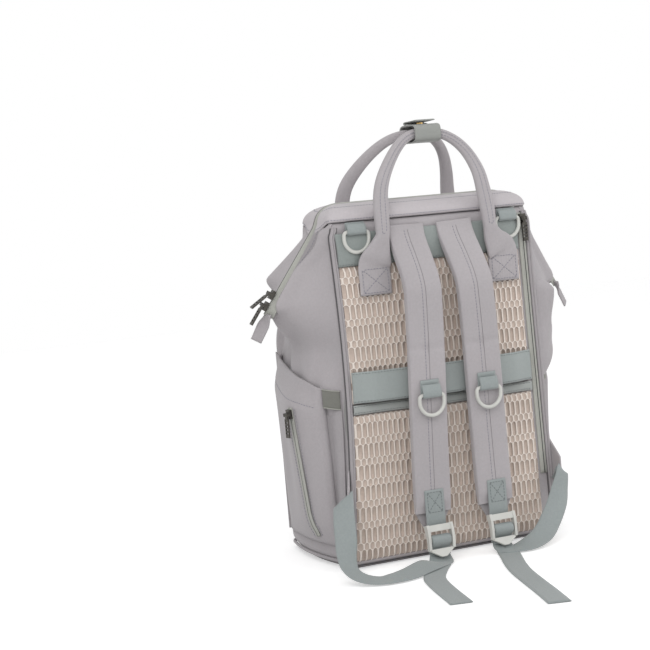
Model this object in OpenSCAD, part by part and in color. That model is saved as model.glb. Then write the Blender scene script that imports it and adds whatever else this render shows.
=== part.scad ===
// Diaper backpack with a framed doctor-style mouth, padded straps and an air-mesh back.
// +Z is up, the strap side faces -Y, and the origin is the middle of the base on the floor.
// All sizes are in millimetres.

/* [Body] */
// Width of the back panel between its two pipings
body_w = 272; // [240:1:300]
// Depth of the body at mid height
body_d = 184; // [160:1:210]
// Height of the back panel's top seam
seam_z = 400; // [380:1:430]
// Height of the stiffened rim above that seam
rim_h = 21; // [16:0.5:28]
// How much narrower each side of the back panel is at the top seam
top_taper = 7; // [0:0.5:14]
// Thickness of the padded fabric panels
panel_t = 3; // [2:0.1:4]
// Radius of the rounded bottom edge
edge_r = 18; // [12:0.5:24]
// Crown of the padded back panel
back_crown = 10; // [4:0.5:14]
// Open seam between neighbouring panels
seam_gap = 0.4; // [0.3:0.05:0.8]
// Diameter of the piping cord in the seams
piping_d = 4; // [3:0.1:5]

/* [Mouth] */
// How far each corner of the mouth stands out past the back panel
horn_out = 54; // [40:1:64]
// Distance of those corners below the top seam
horn_drop = 88; // [78:1:96]
// How far the soft side puffs out in front of those corners
cheek_out = 27; // [18:1:34]
// Height of the shoulder, where the front starts to lean back, below the top seam
shoulder_drop = 150; // [140:1:160]
// Distance from the back panel to the closed zip on top
ridge_back = 35; // [30:0.5:40]
// Diameter of the steel frame wire inside the rim
wire_d = 3; // [2:0.1:4]
// Width of the zip tape
zip_w = 18; // [14:0.5:20]

/* [Back] */
// Thickness of the air mesh pad
mesh_t = 5; // [3:0.1:6]
// Height of the trolley band
band_h = 38; // [30:0.5:44]
// Height of the trolley band's lower edge
band_z = 190; // [180:1:196]
// Clear gap behind the trolley band
band_gap = 7; // [6:0.2:8]
// Thickness of webbing and ribbon
web_t = 1.5; // [1.2:0.1:2]
// Width of webbing
web_w = 25; // [20:0.5:26]

/* [Straps] */
// Width of a padded shoulder strap
strap_w = 46; // [40:0.5:48]
// Thickness of its padding
strap_t = 10; // [7:0.2:12]
// Height of the straps' lower ends
strap_end_z = 58; // [54:0.5:66]
// Height of the rings on the straps
strap_ring_z = 196; // [180:1:210]
// Rod of the D-rings
ring_rod = 4.4; // [3.6:0.1:4.8]
// Clear width inside a D-ring
ring_inside = 27; // [26.6:0.1:30]
// Radial clearance of a ring or lock bar in its loop
bar_clear = 0.08; // [0.05:0.01:0.1]
// Width of a ladder lock
lock_w = 34; // [32.5:0.5:36]
// Height of a ladder lock below its bar
lock_h = 34; // [33:0.5:36]

/* [Pockets] */
// How far a side pocket bulges at its mouth
pocket_bulge = 30; // [22:0.5:36]
// Height of a side pocket's mouth at the back seam
pocket_mouth_z = 214; // [206:1:220]
// How much higher the mouth is at the front seam
pocket_rise = 32; // [20:1:35]
// How far the front pocket bulges
front_bulge = 16; // [10:0.5:22]

/* [Handles] */
// Half the distance between a handle's two legs
handle_half = 70; // [64:1:71]
// Rise of the handles above the rim
handle_rise = 76; // [66:1:90]
// Thickness of a rolled handle
handle_d = 13; // [11:0.2:14]
// Width of the sewn patch at each handle end
patch_w = 40; // [34:0.5:42]
// Length of the wrap that holds the handles together
wrap_l = 34; // [26:0.5:40]

/* [Zip sliders] */
// Diameter of a pull's pivot pin
pin_d = 2; // [1.6:0.1:2.2]
// Radial clearance of a pull on its pin
pin_clear = 0.06; // [0.04:0.01:0.1]
// Length of a ladder pull
pull_l = 27; // [20:0.5:32]
// Clearance between a slider and its zip
slider_clear = 0.4; // [0.3:0.05:0.6]

/* [Hidden] */
$fn = 32;
half_w = body_w / 2;
half_d = body_d / 2;
top_z = seam_z + rim_h;
shoulder_z = seam_z - shoulder_drop;
horn_z = seam_z - horn_drop;
horn_in = 52;
frame_in = 5;
ridge_in = 36;
side_out = 10;
front_in = 4;
horn_x = half_w + horn_out;
horn_y = -half_d + horn_in;
ridge_y = -half_d + ridge_back;
front_top_y = ridge_y + ridge_back;
frame_x = half_w - frame_in;
ridge_hw = half_w - ridge_in;
side_x = half_w + side_out;
front_half_w = half_w - front_in;
body_mid_z = mix(edge_r, shoulder_z, 0.44);
cheek_low_z = horn_z;
cheek_peak_z = horn_z + 30;
cheek_top_z = seam_z - 10;
cheek_way = [0.85, 0.53, 0];
panel_foot = 3.4;
crown_flat = 0.8;
tape_t = 1;
coil_h = 2.2;
coil_w = 4;
clear = 0.4;
ring_half = ring_inside / 2 + ring_rod / 2;
ring_leg = 8;
loop_r = ring_rod / 2 + bar_clear + web_t;

// Small maths helpers

function mix(a, b, t) = a + (b - a) * t;
function unit_clamp(t) = max(0, min(1, t));
function ease(t) = let(u = unit_clamp(t)) u * u * (3 - 2 * u);
function unit(v) = v / norm(v);
function signed_pow(v, e) = sign(v) * pow(abs(v), e);
function steps(a, b, n) = [for (i = [0:n]) mix(a, b, i / n)];

// Surface of the bag: one horizontal section at each height

function above(z) = unit_clamp((z - seam_z) / rim_h);
function dome(z) = sqrt(max(0, 1 - above(z) * above(z)));
function tuck(z) = z >= edge_r ? 0 : edge_r - sqrt(edge_r * edge_r - (edge_r - z) * (edge_r - z));
function lean(z) = ease((z - shoulder_z) / shoulder_drop);
function flare(z) = ease((z - shoulder_z) / (horn_z - shoulder_z));
function climb(z) = unit_clamp((z - horn_z) / horn_drop);
function back_hw(z) = mix(ridge_hw, half_w - top_taper * min(z, seam_z) / seam_z - tuck(z), dome(z));
function back_y(z) = mix(ridge_y, -half_d + tuck(z), dome(z));
function front_hw(z) = mix(ridge_hw, front_half_w - tuck(z), dome(z));
function front_y(z) = mix(ridge_y, mix(half_d, front_top_y, lean(z)) - tuck(z), dome(z));
function apex_x(z) = mix(ridge_hw, mix(mix(side_x, horn_x, flare(z)), frame_x, climb(z)) - tuck(z), dome(z));
function apex_y(z) = mix(mix(0, horn_y, flare(z)), ridge_y, climb(z));

// Point of the back panel: q runs from -1 at the left seam to 1 at the right one
function crown(q, z) = back_crown * pow(max(0, 1 - pow(abs(q) / crown_flat, 2)), 2)
    * sin(180 * unit_clamp(z / seam_z)) * (z > seam_z ? 0 : 1);
function back_point(z, q, inset = 0) =
    [q * (back_hw(z) - inset), back_y(z) + inset - crown(q, z), z];
function front_point(z, q, inset = 0) = [q * (front_hw(z) - inset), front_y(z) - inset, z];

// Soft cheek of the side, in front of the zip and widest just above the horn
function cheek(z, s) = s < 0.5 ? 0 : cheek_out * pow(sin(180 * (2 * s - 1)), 2)
    * min(ease((z - cheek_low_z) / (cheek_peak_z - cheek_low_z)),
          unit_clamp((cheek_top_z - z) / (cheek_top_z - cheek_peak_z)));

// Point of the right side: s runs from 0 at the back seam to 1 at the front one
function side_point(z, s, inset = 0) =
    let(a = [back_hw(z) - inset, back_y(z) + inset, z],
        f = [front_hw(z) - inset, front_y(z) - inset, z],
        p = [apex_x(z) - 1.3 * inset, apex_y(z), z],
        c = 2 * p - (a + f) / 2,
        soft = (1 - s) * (1 - s) * a + 2 * s * (1 - s) * c + s * s * f,
        folded = s < 0.5 ? mix(a, p, 2 * s) : mix(p, f, 2 * s - 1))
    mix(soft, folded, flare(z)) + cheek(z, s) * cheek_way;
function mirrored(p) = [-p[0], p[1], p[2]];

// Closed solids from grids and sweeps

function quad(a, b, c, d) = [[a, d, c], [a, c, b]];

// Thin solid between two grids of points, rows upwards and columns turning left seen from outside
module shell(outer, inner) {
    rows = len(outer);
    cols = len(outer[0]);
    half = rows * cols;
    points = concat([for (row = outer) each row], [for (row = inner) each row]);
    faces = concat(
        [for (i = [0:rows - 2], j = [0:cols - 2]) each
            quad(i * cols + j, i * cols + j + 1, (i + 1) * cols + j + 1, (i + 1) * cols + j)],
        [for (i = [0:rows - 2], j = [0:cols - 2]) each
            quad(half + i * cols + j + 1, half + i * cols + j, half + (i + 1) * cols + j,
                 half + (i + 1) * cols + j + 1)],
        [for (j = [0:cols - 2]) each quad(half + j, half + j + 1, j + 1, j)],
        [for (j = [0:cols - 2]) let(t = (rows - 1) * cols + j) each quad(t, t + 1, half + t + 1, half + t)],
        [for (i = [0:rows - 2]) let(e = i * cols) each quad(half + e, e, e + cols, half + e + cols)],
        [for (i = [0:rows - 2])
            let(e = i * cols + cols - 1)
            each quad(e, half + e, half + e + cols, e + cols)]);
    polyhedron(points, faces);
}

function loop_middle(loop, i = 0) =
    i == len(loop) ? [0, 0, 0] : loop[i] / len(loop) + loop_middle(loop, i + 1);

// Solid through a list of closed loops, each turning left about the way forward
module tube(loops, closed = false) {
    n = len(loops[0]);
    last = len(loops) - 1;
    ends = [loop_middle(loops[0]), loop_middle(loops[last])];
    points = concat([for (loop = loops) each loop], closed ? [] : ends);
    walls = [for (i = [0:last - (closed ? 0 : 1)], j = [0:n - 1])
        let(k = (j + 1) % n, up = (i + 1) % len(loops))
        each quad(i * n + j, i * n + k, up * n + k, up * n + j)];
    base = len(loops) * n;
    caps = closed ? [] : [for (j = [0:n - 1]) let(k = (j + 1) % n)
        each [[base, j, k], [base + 1, last * n + k, last * n + j]]];
    polyhedron(points, concat(walls, caps));
}

// One loop of a sweep: a flat profile set across the way forward, its y along the normal
function loop_at(p, d, normal, profile) =
    let(w = unit(cross(normal, d)), n = cross(d, w)) [for (q = profile) p + w * q[0] + n * q[1]];
function way(stations, i) =
    unit(stations[min(i + 1, len(stations) - 1)][0] - stations[max(i - 1, 0)][0]);

// Sweep: each station is [point, normal, profile]
module sweep(stations) {
    tube([for (i = [0:len(stations) - 1])
        loop_at(stations[i][0], way(stations, i), stations[i][1], stations[i][2])]);
}

function pad_profile(w, t, n = 12, e = 0.55) =
    [for (i = [0:n - 1]) let(a = 360 * (i + 0.5) / n)
        [w / 2 * signed_pow(cos(a), e), t / 2 * signed_pow(sin(a), e)]];
function flat_profile(w, t) = [[w / 2, -t / 2], [w / 2, t / 2], [-w / 2, t / 2], [-w / 2, -t / 2]];
function round_profile(d, n = 8) = pad_profile(d, d, n, 1);
function zip_profile(w) = [
    [w / 2, 0], [w / 2, tape_t], [coil_w / 2, tape_t], [coil_w / 2 - 0.4, coil_h],
    [0.4 - coil_w / 2, coil_h], [-coil_w / 2, tape_t], [-w / 2, tape_t], [-w / 2, 0]];

// Frame that stands on a surface: x across, y outwards, z along the way
function frame_matrix(p, d, normal) =
    let(x = unit(cross(normal, d)), y = cross(d, x))
    [[x[0], y[0], d[0], p[0]], [x[1], y[1], d[1], p[1]], [x[2], y[2], d[2], p[2]], [0, 0, 0, 1]];

// Fabric panels of the body

panel_rows = concat(steps(panel_foot, edge_r, 3), steps(2 * edge_r, shoulder_z - 30, 3),
                    steps(shoulder_z, seam_z - seam_gap, 8));

module back_panel() {
    qs = steps(-1 + seam_gap / half_w, 1 - seam_gap / half_w, 12);
    color([0.66, 0.65, 0.66])
        shell([for (z = panel_rows) [for (q = qs) back_point(z, q)]],
              [for (z = panel_rows) [for (q = qs) back_point(z, q, panel_t)]]);
}

module front_panel() {
    qs = steps(1 - seam_gap / half_w, -1 + seam_gap / half_w, 8);
    color([0.66, 0.65, 0.66])
        shell([for (z = panel_rows) [for (q = qs) front_point(z, q)]],
              [for (z = panel_rows) [for (q = qs) front_point(z, q, panel_t)]]);
}

module right_side_panel() {
    edge = seam_gap / half_d;
    ss = steps(edge, 1 - edge, 12);
    color([0.66, 0.65, 0.66])
        shell([for (z = panel_rows) [for (s = ss) side_point(z, s)]],
              [for (z = panel_rows) [for (s = ss) side_point(z, s, panel_t)]]);
}

module left_side_panel() {
    mirror([1, 0, 0]) right_side_panel();
}

// Flat plate with the outline of the bag's section at the panels' feet
module section_plate(inset, h) {
    linear_extrude(h)
        polygon([for (p = section_loop(panel_foot, inset)) [p[0], p[1]]]);
}

module base_panel() {
    color([0.62, 0.61, 0.62]) section_plate(0.5, panel_t);
}

board_t = 2.5;
module base_board() {
    color([0.25, 0.25, 0.25])
        translate([0, 0, panel_t + clear]) section_plate(edge_r - 6, board_t);
}

// Lining: an open-topped inner bag that draws in at the mouth
lining_t = 1;
lining_tuck = 6;
lining_low_in = panel_t + 3.5;
lining_top_in = 17;
lining_draw_h = 60;
lining_foot = panel_t + board_t + 3 * clear;
function lining_inset(z) =
    mix(lining_low_in, lining_top_in, ease((z - shoulder_z) / lining_draw_h))
    + (z < edge_r ? lining_tuck : 0);
function section_loop(z, inset) = concat(
    [for (q = steps(-1, 0.8, 9)) back_point(z, q, inset)],
    [for (s = steps(0, 0.9, 9)) side_point(z, s, inset)],
    [for (q = steps(1, -0.8, 9)) front_point(z, q, inset)],
    [for (s = steps(1, 0.1, 9)) mirrored(side_point(z, s, inset))]);

module lining() {
    zs = concat([lining_foot, edge_r + lining_tuck, body_mid_z], steps(shoulder_z, seam_z - lining_tuck, 4));
    rise = len(zs) - 1;
    color([0.55, 0.56, 0.55])
        tube(concat(
            [for (z = zs) section_loop(z, lining_inset(z))],
            [for (i = [0:rise])
                let(z = zs[rise - i] + (i == rise ? lining_t : 0))
                section_loop(z, lining_inset(zs[rise - i]) + lining_t)]));
}

// Stiffened rim and its wires

rim_zs = concat(steps(seam_z + seam_gap, seam_z + 0.9 * rim_h, 4), [seam_z + 0.975 * rim_h]);
function rim_back_row(z, inset) = concat(
    [for (s = steps(0.49, 0.1, 4)) mirrored(side_point(z, s, inset))],
    [for (q = steps(-1, 1, 12)) back_point(z, q, inset)],
    [for (s = steps(0.1, 0.49, 4)) side_point(z, s, inset)]);
function rim_front_row(z, inset) = concat(
    [for (s = steps(0.51, 0.9, 4)) side_point(z, s, inset)],
    [for (q = steps(1, -1, 12)) front_point(z, q, inset)],
    [for (s = steps(0.9, 0.51, 4)) mirrored(side_point(z, s, inset))]);
function rim_inset(z) = 2.4 * dome(z) + 0.6;
function lowered(row, by) = [for (p = row) p - [0, 0, by]];

module rim_back() {
    color([0.68, 0.67, 0.68])
        shell([for (z = rim_zs) rim_back_row(z, 0)],
              [for (z = rim_zs) lowered(rim_back_row(z, rim_inset(z)), 2 * above(z))]);
}

module rim_front() {
    color([0.68, 0.67, 0.68])
        shell([for (z = rim_zs) rim_front_row(z, 0)],
              [for (z = rim_zs) lowered(rim_front_row(z, rim_inset(z)), 2 * above(z))]);
}

// Sprung wires inside the mouth, one to each side of the zip
wire_apart = 8;
wire_back_in = 14;
wire_front_in = 11.2;
wire_drop = 2;
wire_under = 8;
function wire_leg(side, offset, inset) =
    [for (z = steps(horn_z + 2, seam_z - zip_join, 6))
        [side * (apex_x(z) - inset), apex_y(z) + offset, z]];
function wire_corner(side, offset, inset) =
    [for (a = steps(15, 90, 5))
        [side * (mix(ridge_hw, frame_x, cos(a)) - inset), ridge_y + offset,
         seam_z - wire_drop + (rim_h - wire_under) * sin(a)]];
function wire_half(side, offset, inset) =
    concat(wire_leg(side, offset, inset), wire_corner(side, offset, inset));

module frame_wire(offset, inset) {
    path = concat(wire_half(-1, offset, inset), reversed(wire_half(1, offset, inset)));
    color([0.6, 0.6, 0.62])
        sweep([for (p = path) [p, [0, -1, 0], round_profile(wire_d)]]);
}

module frame_wire_back() {
    frame_wire(-wire_apart / 2, wire_back_in);
}

module frame_wire_front() {
    frame_wire(wire_apart / 2, wire_front_in);
}

// Main zip along the ridge and down both slanted edges

zip_lift = 0.5;
function slant_point(z, side) = [side * (apex_x(z) + zip_lift), apex_y(z), z];
slant_way = unit(slant_point(seam_z, -1) - slant_point(horn_z, -1));
slant_normal = [-1, 0, 0.4];
zip_tail = 12;
zip_low_end = slant_point(horn_z, -1) - zip_tail * slant_way;
zip_turn = [20, 80];
zip_join = 4;
function zip_half(side) = concat(
    [[mirror_if(side, zip_low_end), [side, 0, 0.4]]],
    [for (z = steps(horn_z, seam_z - zip_join, 4)) [slant_point(z, side), [side, 0, 0.4]]],
    [for (a = steps(zip_turn[0], zip_turn[1], 5))
        [[side * (mix(ridge_hw, frame_x, cos(a)) + zip_lift), ridge_y, seam_z + (rim_h + zip_lift) * sin(a)],
         [side * cos(a), 0, sin(a)]]]);
function mirror_if(side, p) = side < 0 ? p : mirrored(p);
function reversed(list) = [for (i = [len(list) - 1:-1:0]) list[i]];
function zip_path() = concat(
    zip_half(-1),
    [for (x = steps(-ridge_hw + zip_join, ridge_hw - zip_join, 8))
        [[x, ridge_y, top_z + zip_lift], [0, 0, 1]]],
    reversed(zip_half(1)));

module main_zip() {
    color([0.55, 0.57, 0.54])
        sweep([for (s = zip_path()) [s[0], s[1], zip_profile(zip_w)]]);
}

// Fabric tabs sewn to the zip's two ends
tab_drop = 30;
tab_droop = 5;
tab_w = 16;
tab_t = 2;
module zip_end_tabs() {
    color([0.63, 0.62, 0.63])
        for (side = [-1, 1])
            sweep([for (k = [0, 0.5, 1])
                [mirror_if(side, zip_low_end - (clear + tab_drop * k) * slant_way) - [0, 0, tab_droop * k],
                 [side, 0, 0.4], flat_profile(tab_w, tab_t)]]);
}

// Zip slider and pull, on a zip whose way is z and whose outside is +y
slider_l = 11;
slider_w = 8;
slider_top = coil_h + slider_clear + 2.6;
pin_y = slider_top + pin_d / 2 + 1.2;

module zip_slider() {
    color([0.36, 0.35, 0.33]) {
        difference() {
            translate([-slider_w / 2, tape_t + slider_clear, -slider_l / 2])
                cube([slider_w, slider_top - tape_t - slider_clear, slider_l]);
            translate([-coil_w / 2 - slider_clear, 0, -slider_l])
                cube([coil_w + 2 * slider_clear, coil_h + slider_clear, 2 * slider_l]);
        }
        for (side = [-1, 1])
            translate([side * 3.1 - 0.6, slider_top - 0.5, -pin_d])
                cube([1.2, pin_y + pin_d - slider_top + 0.5, 2 * pin_d]);
        translate([0, pin_y, 0])
            rotate([0, 90, 0]) cylinder(d = pin_d, h = 7, center = true);
    }
}

// Ladder pull hanging from the slider's pin, swung outwards by fold
pull_w = 7;
pull_t = 2;
pull_slots = 4;
module zip_pull(fold = 0) {
    eye_d = pin_d + 2 * pin_clear + 2;
    color([0.34, 0.33, 0.31])
        translate([0, pin_y, 0])
            rotate([fold, 0, 0]) difference() {
                union() {
                    rotate([0, 90, 0]) cylinder(d = eye_d, h = 4, center = true);
                    translate([-2, -pull_t / 2, -6]) cube([4, pull_t, 6]);
                    translate([-pull_w / 2, -pull_t / 2, -pull_l]) cube([pull_w, pull_t, pull_l - 5]);
                }
                rotate([0, 90, 0]) cylinder(d = pin_d + 2 * pin_clear, h = 6, center = true);
                for (k = [1:pull_slots])
                    translate([-2.2, -pull_t, -6.2 - k * (pull_l - 8) / (pull_slots + 0.6)])
                        cube([4.4, 2 * pull_t, 2]);
            }
}

module on_main_zip(along) {
    multmatrix(frame_matrix(zip_low_end + along * slant_way, slant_way, slant_normal)) children();
}

low_slider_along = 9;
high_slider_along = low_slider_along + slider_l + 4;
module main_slider_low() {
    on_main_zip(low_slider_along) zip_slider();
}

module main_pull_low() {
    on_main_zip(low_slider_along) zip_pull();
}

module main_slider_high() {
    on_main_zip(high_slider_along) zip_slider();
}

// The upper pull rests on the lower slider
high_pull_fold = 22;
module main_pull_high() {
    on_main_zip(high_slider_along) zip_pull(high_pull_fold);
}

// Mesh, ribbon and bands on the back panel

mesh_left = -half_w + 3;
mesh_right_gap = 16;
function back_x(x, z, out) =
    let(q = x / back_hw(z)) [x, back_y(z) - crown(q, z) - out, z];
function span_x(z) = [mesh_left + top_taper * z / seam_z, back_hw(z) - mesh_right_gap];

// Layer of the back between two heights, standing off by out0 and thick by t, with a crowned middle
module back_layer(z0, z1, out0, t, rows, puff = 0) {
    zs = steps(z0, z1, rows);
    us = steps(0, 1, 10);
    function edge_fall(u) = 1 - pow(abs(2 * u - 1), 6);
    shell([for (z = zs) [for (u = us)
              back_x(mix(span_x(z)[0], span_x(z)[1], u), z, out0 + t + puff * edge_fall(u))]],
          [for (z = zs) [for (u = us) back_x(mix(span_x(z)[0], span_x(z)[1], u), z, out0)]]);
}

binding_h = 11;
mesh_puff = 1.5;
top_band_z = seam_z - 51;
top_band_h = 38;
module mesh_upper() {
    color([0.8, 0.75, 0.7])
        back_layer(band_z + 1, top_band_z - 0.5, clear, mesh_t - mesh_puff, 8, mesh_puff);
}

module mesh_lower() {
    color([0.8, 0.75, 0.7])
        back_layer(edge_r + 1, band_z - binding_h - 1.5, clear, mesh_t - mesh_puff, 8, mesh_puff);
}

module top_band() {
    color([0.55, 0.59, 0.57]) back_layer(top_band_z, top_band_z + top_band_h, clear, web_t, 3);
}

module luggage_band() {
    zs = steps(band_z + 2, band_z + band_h, 3);
    us = steps(0, 1, 16);
    function lift(u) = mix(mesh_t - mesh_puff + 2 * clear, mesh_t + band_gap, ease(min(u, 1 - u) / 0.12));
    color([0.52, 0.56, 0.54])
        shell([for (z = zs) [for (u = us)
                  back_x(mix(span_x(z)[0], span_x(z)[1], u), z, lift(u) + web_t)]],
              [for (z = zs) [for (u = us) back_x(mix(span_x(z)[0], span_x(z)[1], u), z, lift(u))]]);
}

module mesh_binding() {
    color([0.57, 0.61, 0.58])
        back_layer(band_z - binding_h, band_z, clear, mesh_t - 1, 2);
}

// Straight zip along the right edge of the back panel
back_zip_low = 76;
back_zip_high = seam_z - 8;
function back_zip_point(z) = [back_hw(z) - 7.5, back_y(z) - clear, z];
back_zip_way = unit(back_zip_point(back_zip_high) - back_zip_point(back_zip_low));
module back_zip() {
    color([0.55, 0.57, 0.54])
        sweep([for (z = steps(back_zip_low, back_zip_high, 6))
            [back_zip_point(z), [0, -1, 0], zip_profile(11)]]);
}

back_slider_z = back_zip_high - 7;
module on_back_zip() {
    multmatrix(frame_matrix(back_zip_point(back_slider_z), back_zip_way, [0, -1, 0])) children();
}

module back_slider() {
    on_back_zip() zip_slider();
}

module back_pull() {
    on_back_zip() zip_pull();
}

// Piping cords

piping_out = (piping_d / 2 + clear) / sqrt(2);
piping_foot = edge_r + 6;
back_piping_top = seam_z - 3;
front_piping_top = seam_z - 78;
module corner_piping(front) {
    high = front ? front_piping_top : back_piping_top;
    zs = concat([piping_foot, body_mid_z], steps(shoulder_z - edge_r, high, 7));
    color([0.64, 0.63, 0.64])
        sweep([for (z = zs)
            let(p = front ? front_point(z, 1) : back_point(z, 1))
            [p + [piping_out, (front ? 1 : -1) * piping_out, 0], [0, -1, 0], round_profile(piping_d)]]);
}

module back_pipings() {
    corner_piping(false);
    mirror([1, 0, 0]) corner_piping(false);
}

module front_pipings() {
    corner_piping(true);
    mirror([1, 0, 0]) corner_piping(true);
}

base_piping_z = 8;
base_piping_out = 0.8;
module base_piping() {
    grow = piping_d / 2 + clear + base_piping_out;
    loop = section_loop(base_piping_z, -grow);
    n = len(loop);
    color([0.6, 0.59, 0.6])
        tube([for (i = [0:n - 1])
            let(d = unit(loop[(i + 1) % n] - loop[(i + n - 1) % n]))
            loop_at(loop[i], d, [0, 0, 1], round_profile(piping_d, 6))], closed = true);
}

// Side pockets

pocket_foot = edge_r + 8;
pocket_t = 2.4;
pocket_back = 0.05;
pocket_front = 0.5;
function mouth_z(q) = pocket_mouth_z + pocket_rise * q;
function pocket_swell(q) = (1 - pow(2 * q - 1, 4)) * mix(1, pocket_front, ease((q - 0.3) / 0.5));
function pocket_fill(v) = (0.3 + 0.7 * v) * pow(unit_clamp(v / 0.12), 0.5);
function pocket_point(q, z, out) =
    let(v = (z - pocket_foot) / (mouth_z(q) - pocket_foot),
        p = side_point(z, mix(pocket_back, 1 - pocket_back, q)))
    p + [clear + out + pocket_bulge * pocket_swell(q) * pocket_fill(v), 0, 0];
pocket_vs = [0, 0.04, 0.12, 0.3, 0.5, 0.7, 0.85, 1];

module right_pocket() {
    qs = concat([0, 0.03], steps(0.08, 0.92, 10), [0.97, 1]);
    color([0.65, 0.64, 0.65])
        shell([for (v = pocket_vs) [for (q = qs)
                  pocket_point(q, mix(pocket_foot, mouth_z(q), v), pocket_t)]],
              [for (v = pocket_vs) [for (q = qs) pocket_point(q, mix(pocket_foot, mouth_z(q), v), 0)]]);
}

module left_pocket() {
    mirror([1, 0, 0]) right_pocket();
}

// Elastic at both ends of a pocket's mouth
elastic_h = 21;
module right_elastics() {
    color([0.46, 0.46, 0.44])
        for (range = [[0.004, 0.1], [0.9, 0.996]]) {
            qs = steps(range[0], range[1], 5);
            lift = pocket_t + clear;
            shell([for (k = [1, 0.5, 0]) [for (q = qs)
                      pocket_point(q, mouth_z(q) - 1 - elastic_h * k, lift + web_t)]],
                  [for (k = [1, 0.5, 0])
                      [for (q = qs) pocket_point(q, mouth_z(q) - 1 - elastic_h * k, lift)]]);
        }
}

module left_elastics() {
    mirror([1, 0, 0]) right_elastics();
}

// Upright zip on the left pocket
pocket_zip_q = 0.29;
pocket_zip_low = 58;
pocket_zip_high = 190;
function pocket_zip_point(z) = mirrored(pocket_point(pocket_zip_q, z, pocket_t + clear));
pocket_zip_way = unit(pocket_zip_point(pocket_zip_high) - pocket_zip_point(pocket_zip_low));
zip_q_step = 0.03;
pocket_zip_across = unit(mirrored(pocket_point(pocket_zip_q + zip_q_step, body_mid_z, 0)
                                  - pocket_point(pocket_zip_q - zip_q_step, body_mid_z, 0)));
pocket_zip_normal = unit(cross(pocket_zip_way, pocket_zip_across));
module pocket_zip() {
    color([0.55, 0.57, 0.54])
        sweep([for (z = steps(pocket_zip_low, pocket_zip_high, 5))
            [pocket_zip_point(z), pocket_zip_normal, zip_profile(9)]]);
}

pocket_slider_z = pocket_zip_high - 7;
module on_pocket_zip() {
    multmatrix(frame_matrix(pocket_zip_point(pocket_slider_z), pocket_zip_way, pocket_zip_normal)) children();
}

module pocket_slider() {
    on_pocket_zip() zip_slider();
}

// The pull hangs plumb from a zip that leans outwards
module pocket_pull() {
    on_pocket_zip() zip_pull(acos(pocket_zip_way[2]));
}

// Front pocket with an arched zip above a plain base band
front_seam_z = 72;
front_pocket_top = shoulder_z - 2;
function front_pocket_point(q, z, out) =
    let(v = (z - front_seam_z) / (front_pocket_top - front_seam_z),
        fill = sqrt(unit_clamp(min(v, 1 - v) / 0.09)) * sqrt(unit_clamp((1 - abs(q)) / 0.14)))
    front_point(z, 0.9 * q) + [0, clear + out + front_bulge * fill, 0];
module front_pocket() {
    rise = front_pocket_top - front_seam_z;
    zs = [for (v = [0, 0.015, 0.045, 0.09, 0.3, 0.5, 0.7, 0.91, 0.955, 0.985, 1]) front_seam_z + rise * v];
    qs = concat([1, 0.98, 0.94], steps(0.86, -0.86, 8), [-0.94, -0.98, -1]);
    color([0.65, 0.64, 0.65])
        shell([for (z = zs) [for (q = qs) front_pocket_point(q, z, pocket_t)]],
              [for (z = zs) [for (q = qs) front_pocket_point(q, z, 0)]]);
}

front_zip_x = half_w - 46;
front_zip_low = front_seam_z + 20;
front_zip_leg = 170;
front_arch = 58;
front_zip_y = half_d + front_bulge + pocket_t + 2 * clear;
function front_arch_point(a) =
    [front_zip_x - front_arch * (1 - cos(a)), front_zip_y, front_zip_leg + front_arch * sin(a)];
module front_zip() {
    leg = [for (z = steps(front_zip_low, front_zip_leg - 8, 4)) [front_zip_x, front_zip_y, z]];
    arch = [for (a = steps(0, 90, 8)) front_arch_point(a)];
    half = concat(leg, arch);
    path = concat(half, reversed([for (p = half) mirrored(p)]));
    color([0.55, 0.57, 0.54])
        sweep([for (p = path) [p, [0, 1, 0], zip_profile(12)]]);
}

front_slider_z = front_zip_low + 7;
module on_front_zip() {
    multmatrix(frame_matrix([front_zip_x, front_zip_y, front_slider_z], [0, 0, 1], [0, 1, 0])) children();
}

module front_slider() {
    on_front_zip() zip_slider();
}

module front_pull() {
    on_front_zip() zip_pull();
}

// Carrying handles: flat sewn patches that roll up into padded tubes

patch_t = 3.4;
patch_low = seam_z - 86;
patch_high = seam_z - 54;
patch_shift = 12;
patch_stand = 3.1;
neck_stand = 4.4;
front_stand = 2.6;
neck_h = 43;
leg_h = 62;
apex_gap = 10;
handle_lean = 15;
handle_top = top_z + handle_rise;
function handle_leg(front) =
    let(side = front ? 1 : -1)
    [for (k = [[patch_low, 0, patch_w, patch_t], [patch_high, 0, patch_w, patch_t],
               [patch_high + 0.23 * neck_h, 0.25, 0.84 * patch_w, 0.38 * handle_d],
               [patch_high + 0.46 * neck_h, 0.6, 0.55 * patch_w, 0.62 * handle_d],
               [patch_high + 0.75 * neck_h, 0.9, 0.4 * patch_w, 0.85 * handle_d],
               [patch_high + neck_h, 1, handle_d, handle_d],
               [patch_high + leg_h, 1, handle_d, handle_d]])
        let(z = k[0],
            stand = k[1] > 0 ? neck_stand : patch_stand,
            y = front ? front_y(min(z, seam_z)) + front_stand : -half_d - mesh_t - stand,
            x = handle_half + patch_shift * (1 - k[1]))
        [[x, y + side * k[3] / 2, z], [0, side, front ? 0.5 : 0],
         pad_profile(k[2], k[3], 12, mix(0.5, 0.9, k[1]))]];
function handle_arch(front) =
    let(side = front ? 1 : -1, foot = handle_leg(front)[6][0][1])
    [for (a = steps(8, 90, 9))
        [[handle_half * cos(a), mix(foot, ridge_y + side * apex_gap, sin(a)), mix(top_z, handle_top, sin(a))],
         [0, side, 0], pad_profile(handle_d, handle_d, 12, 0.9)]];
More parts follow.
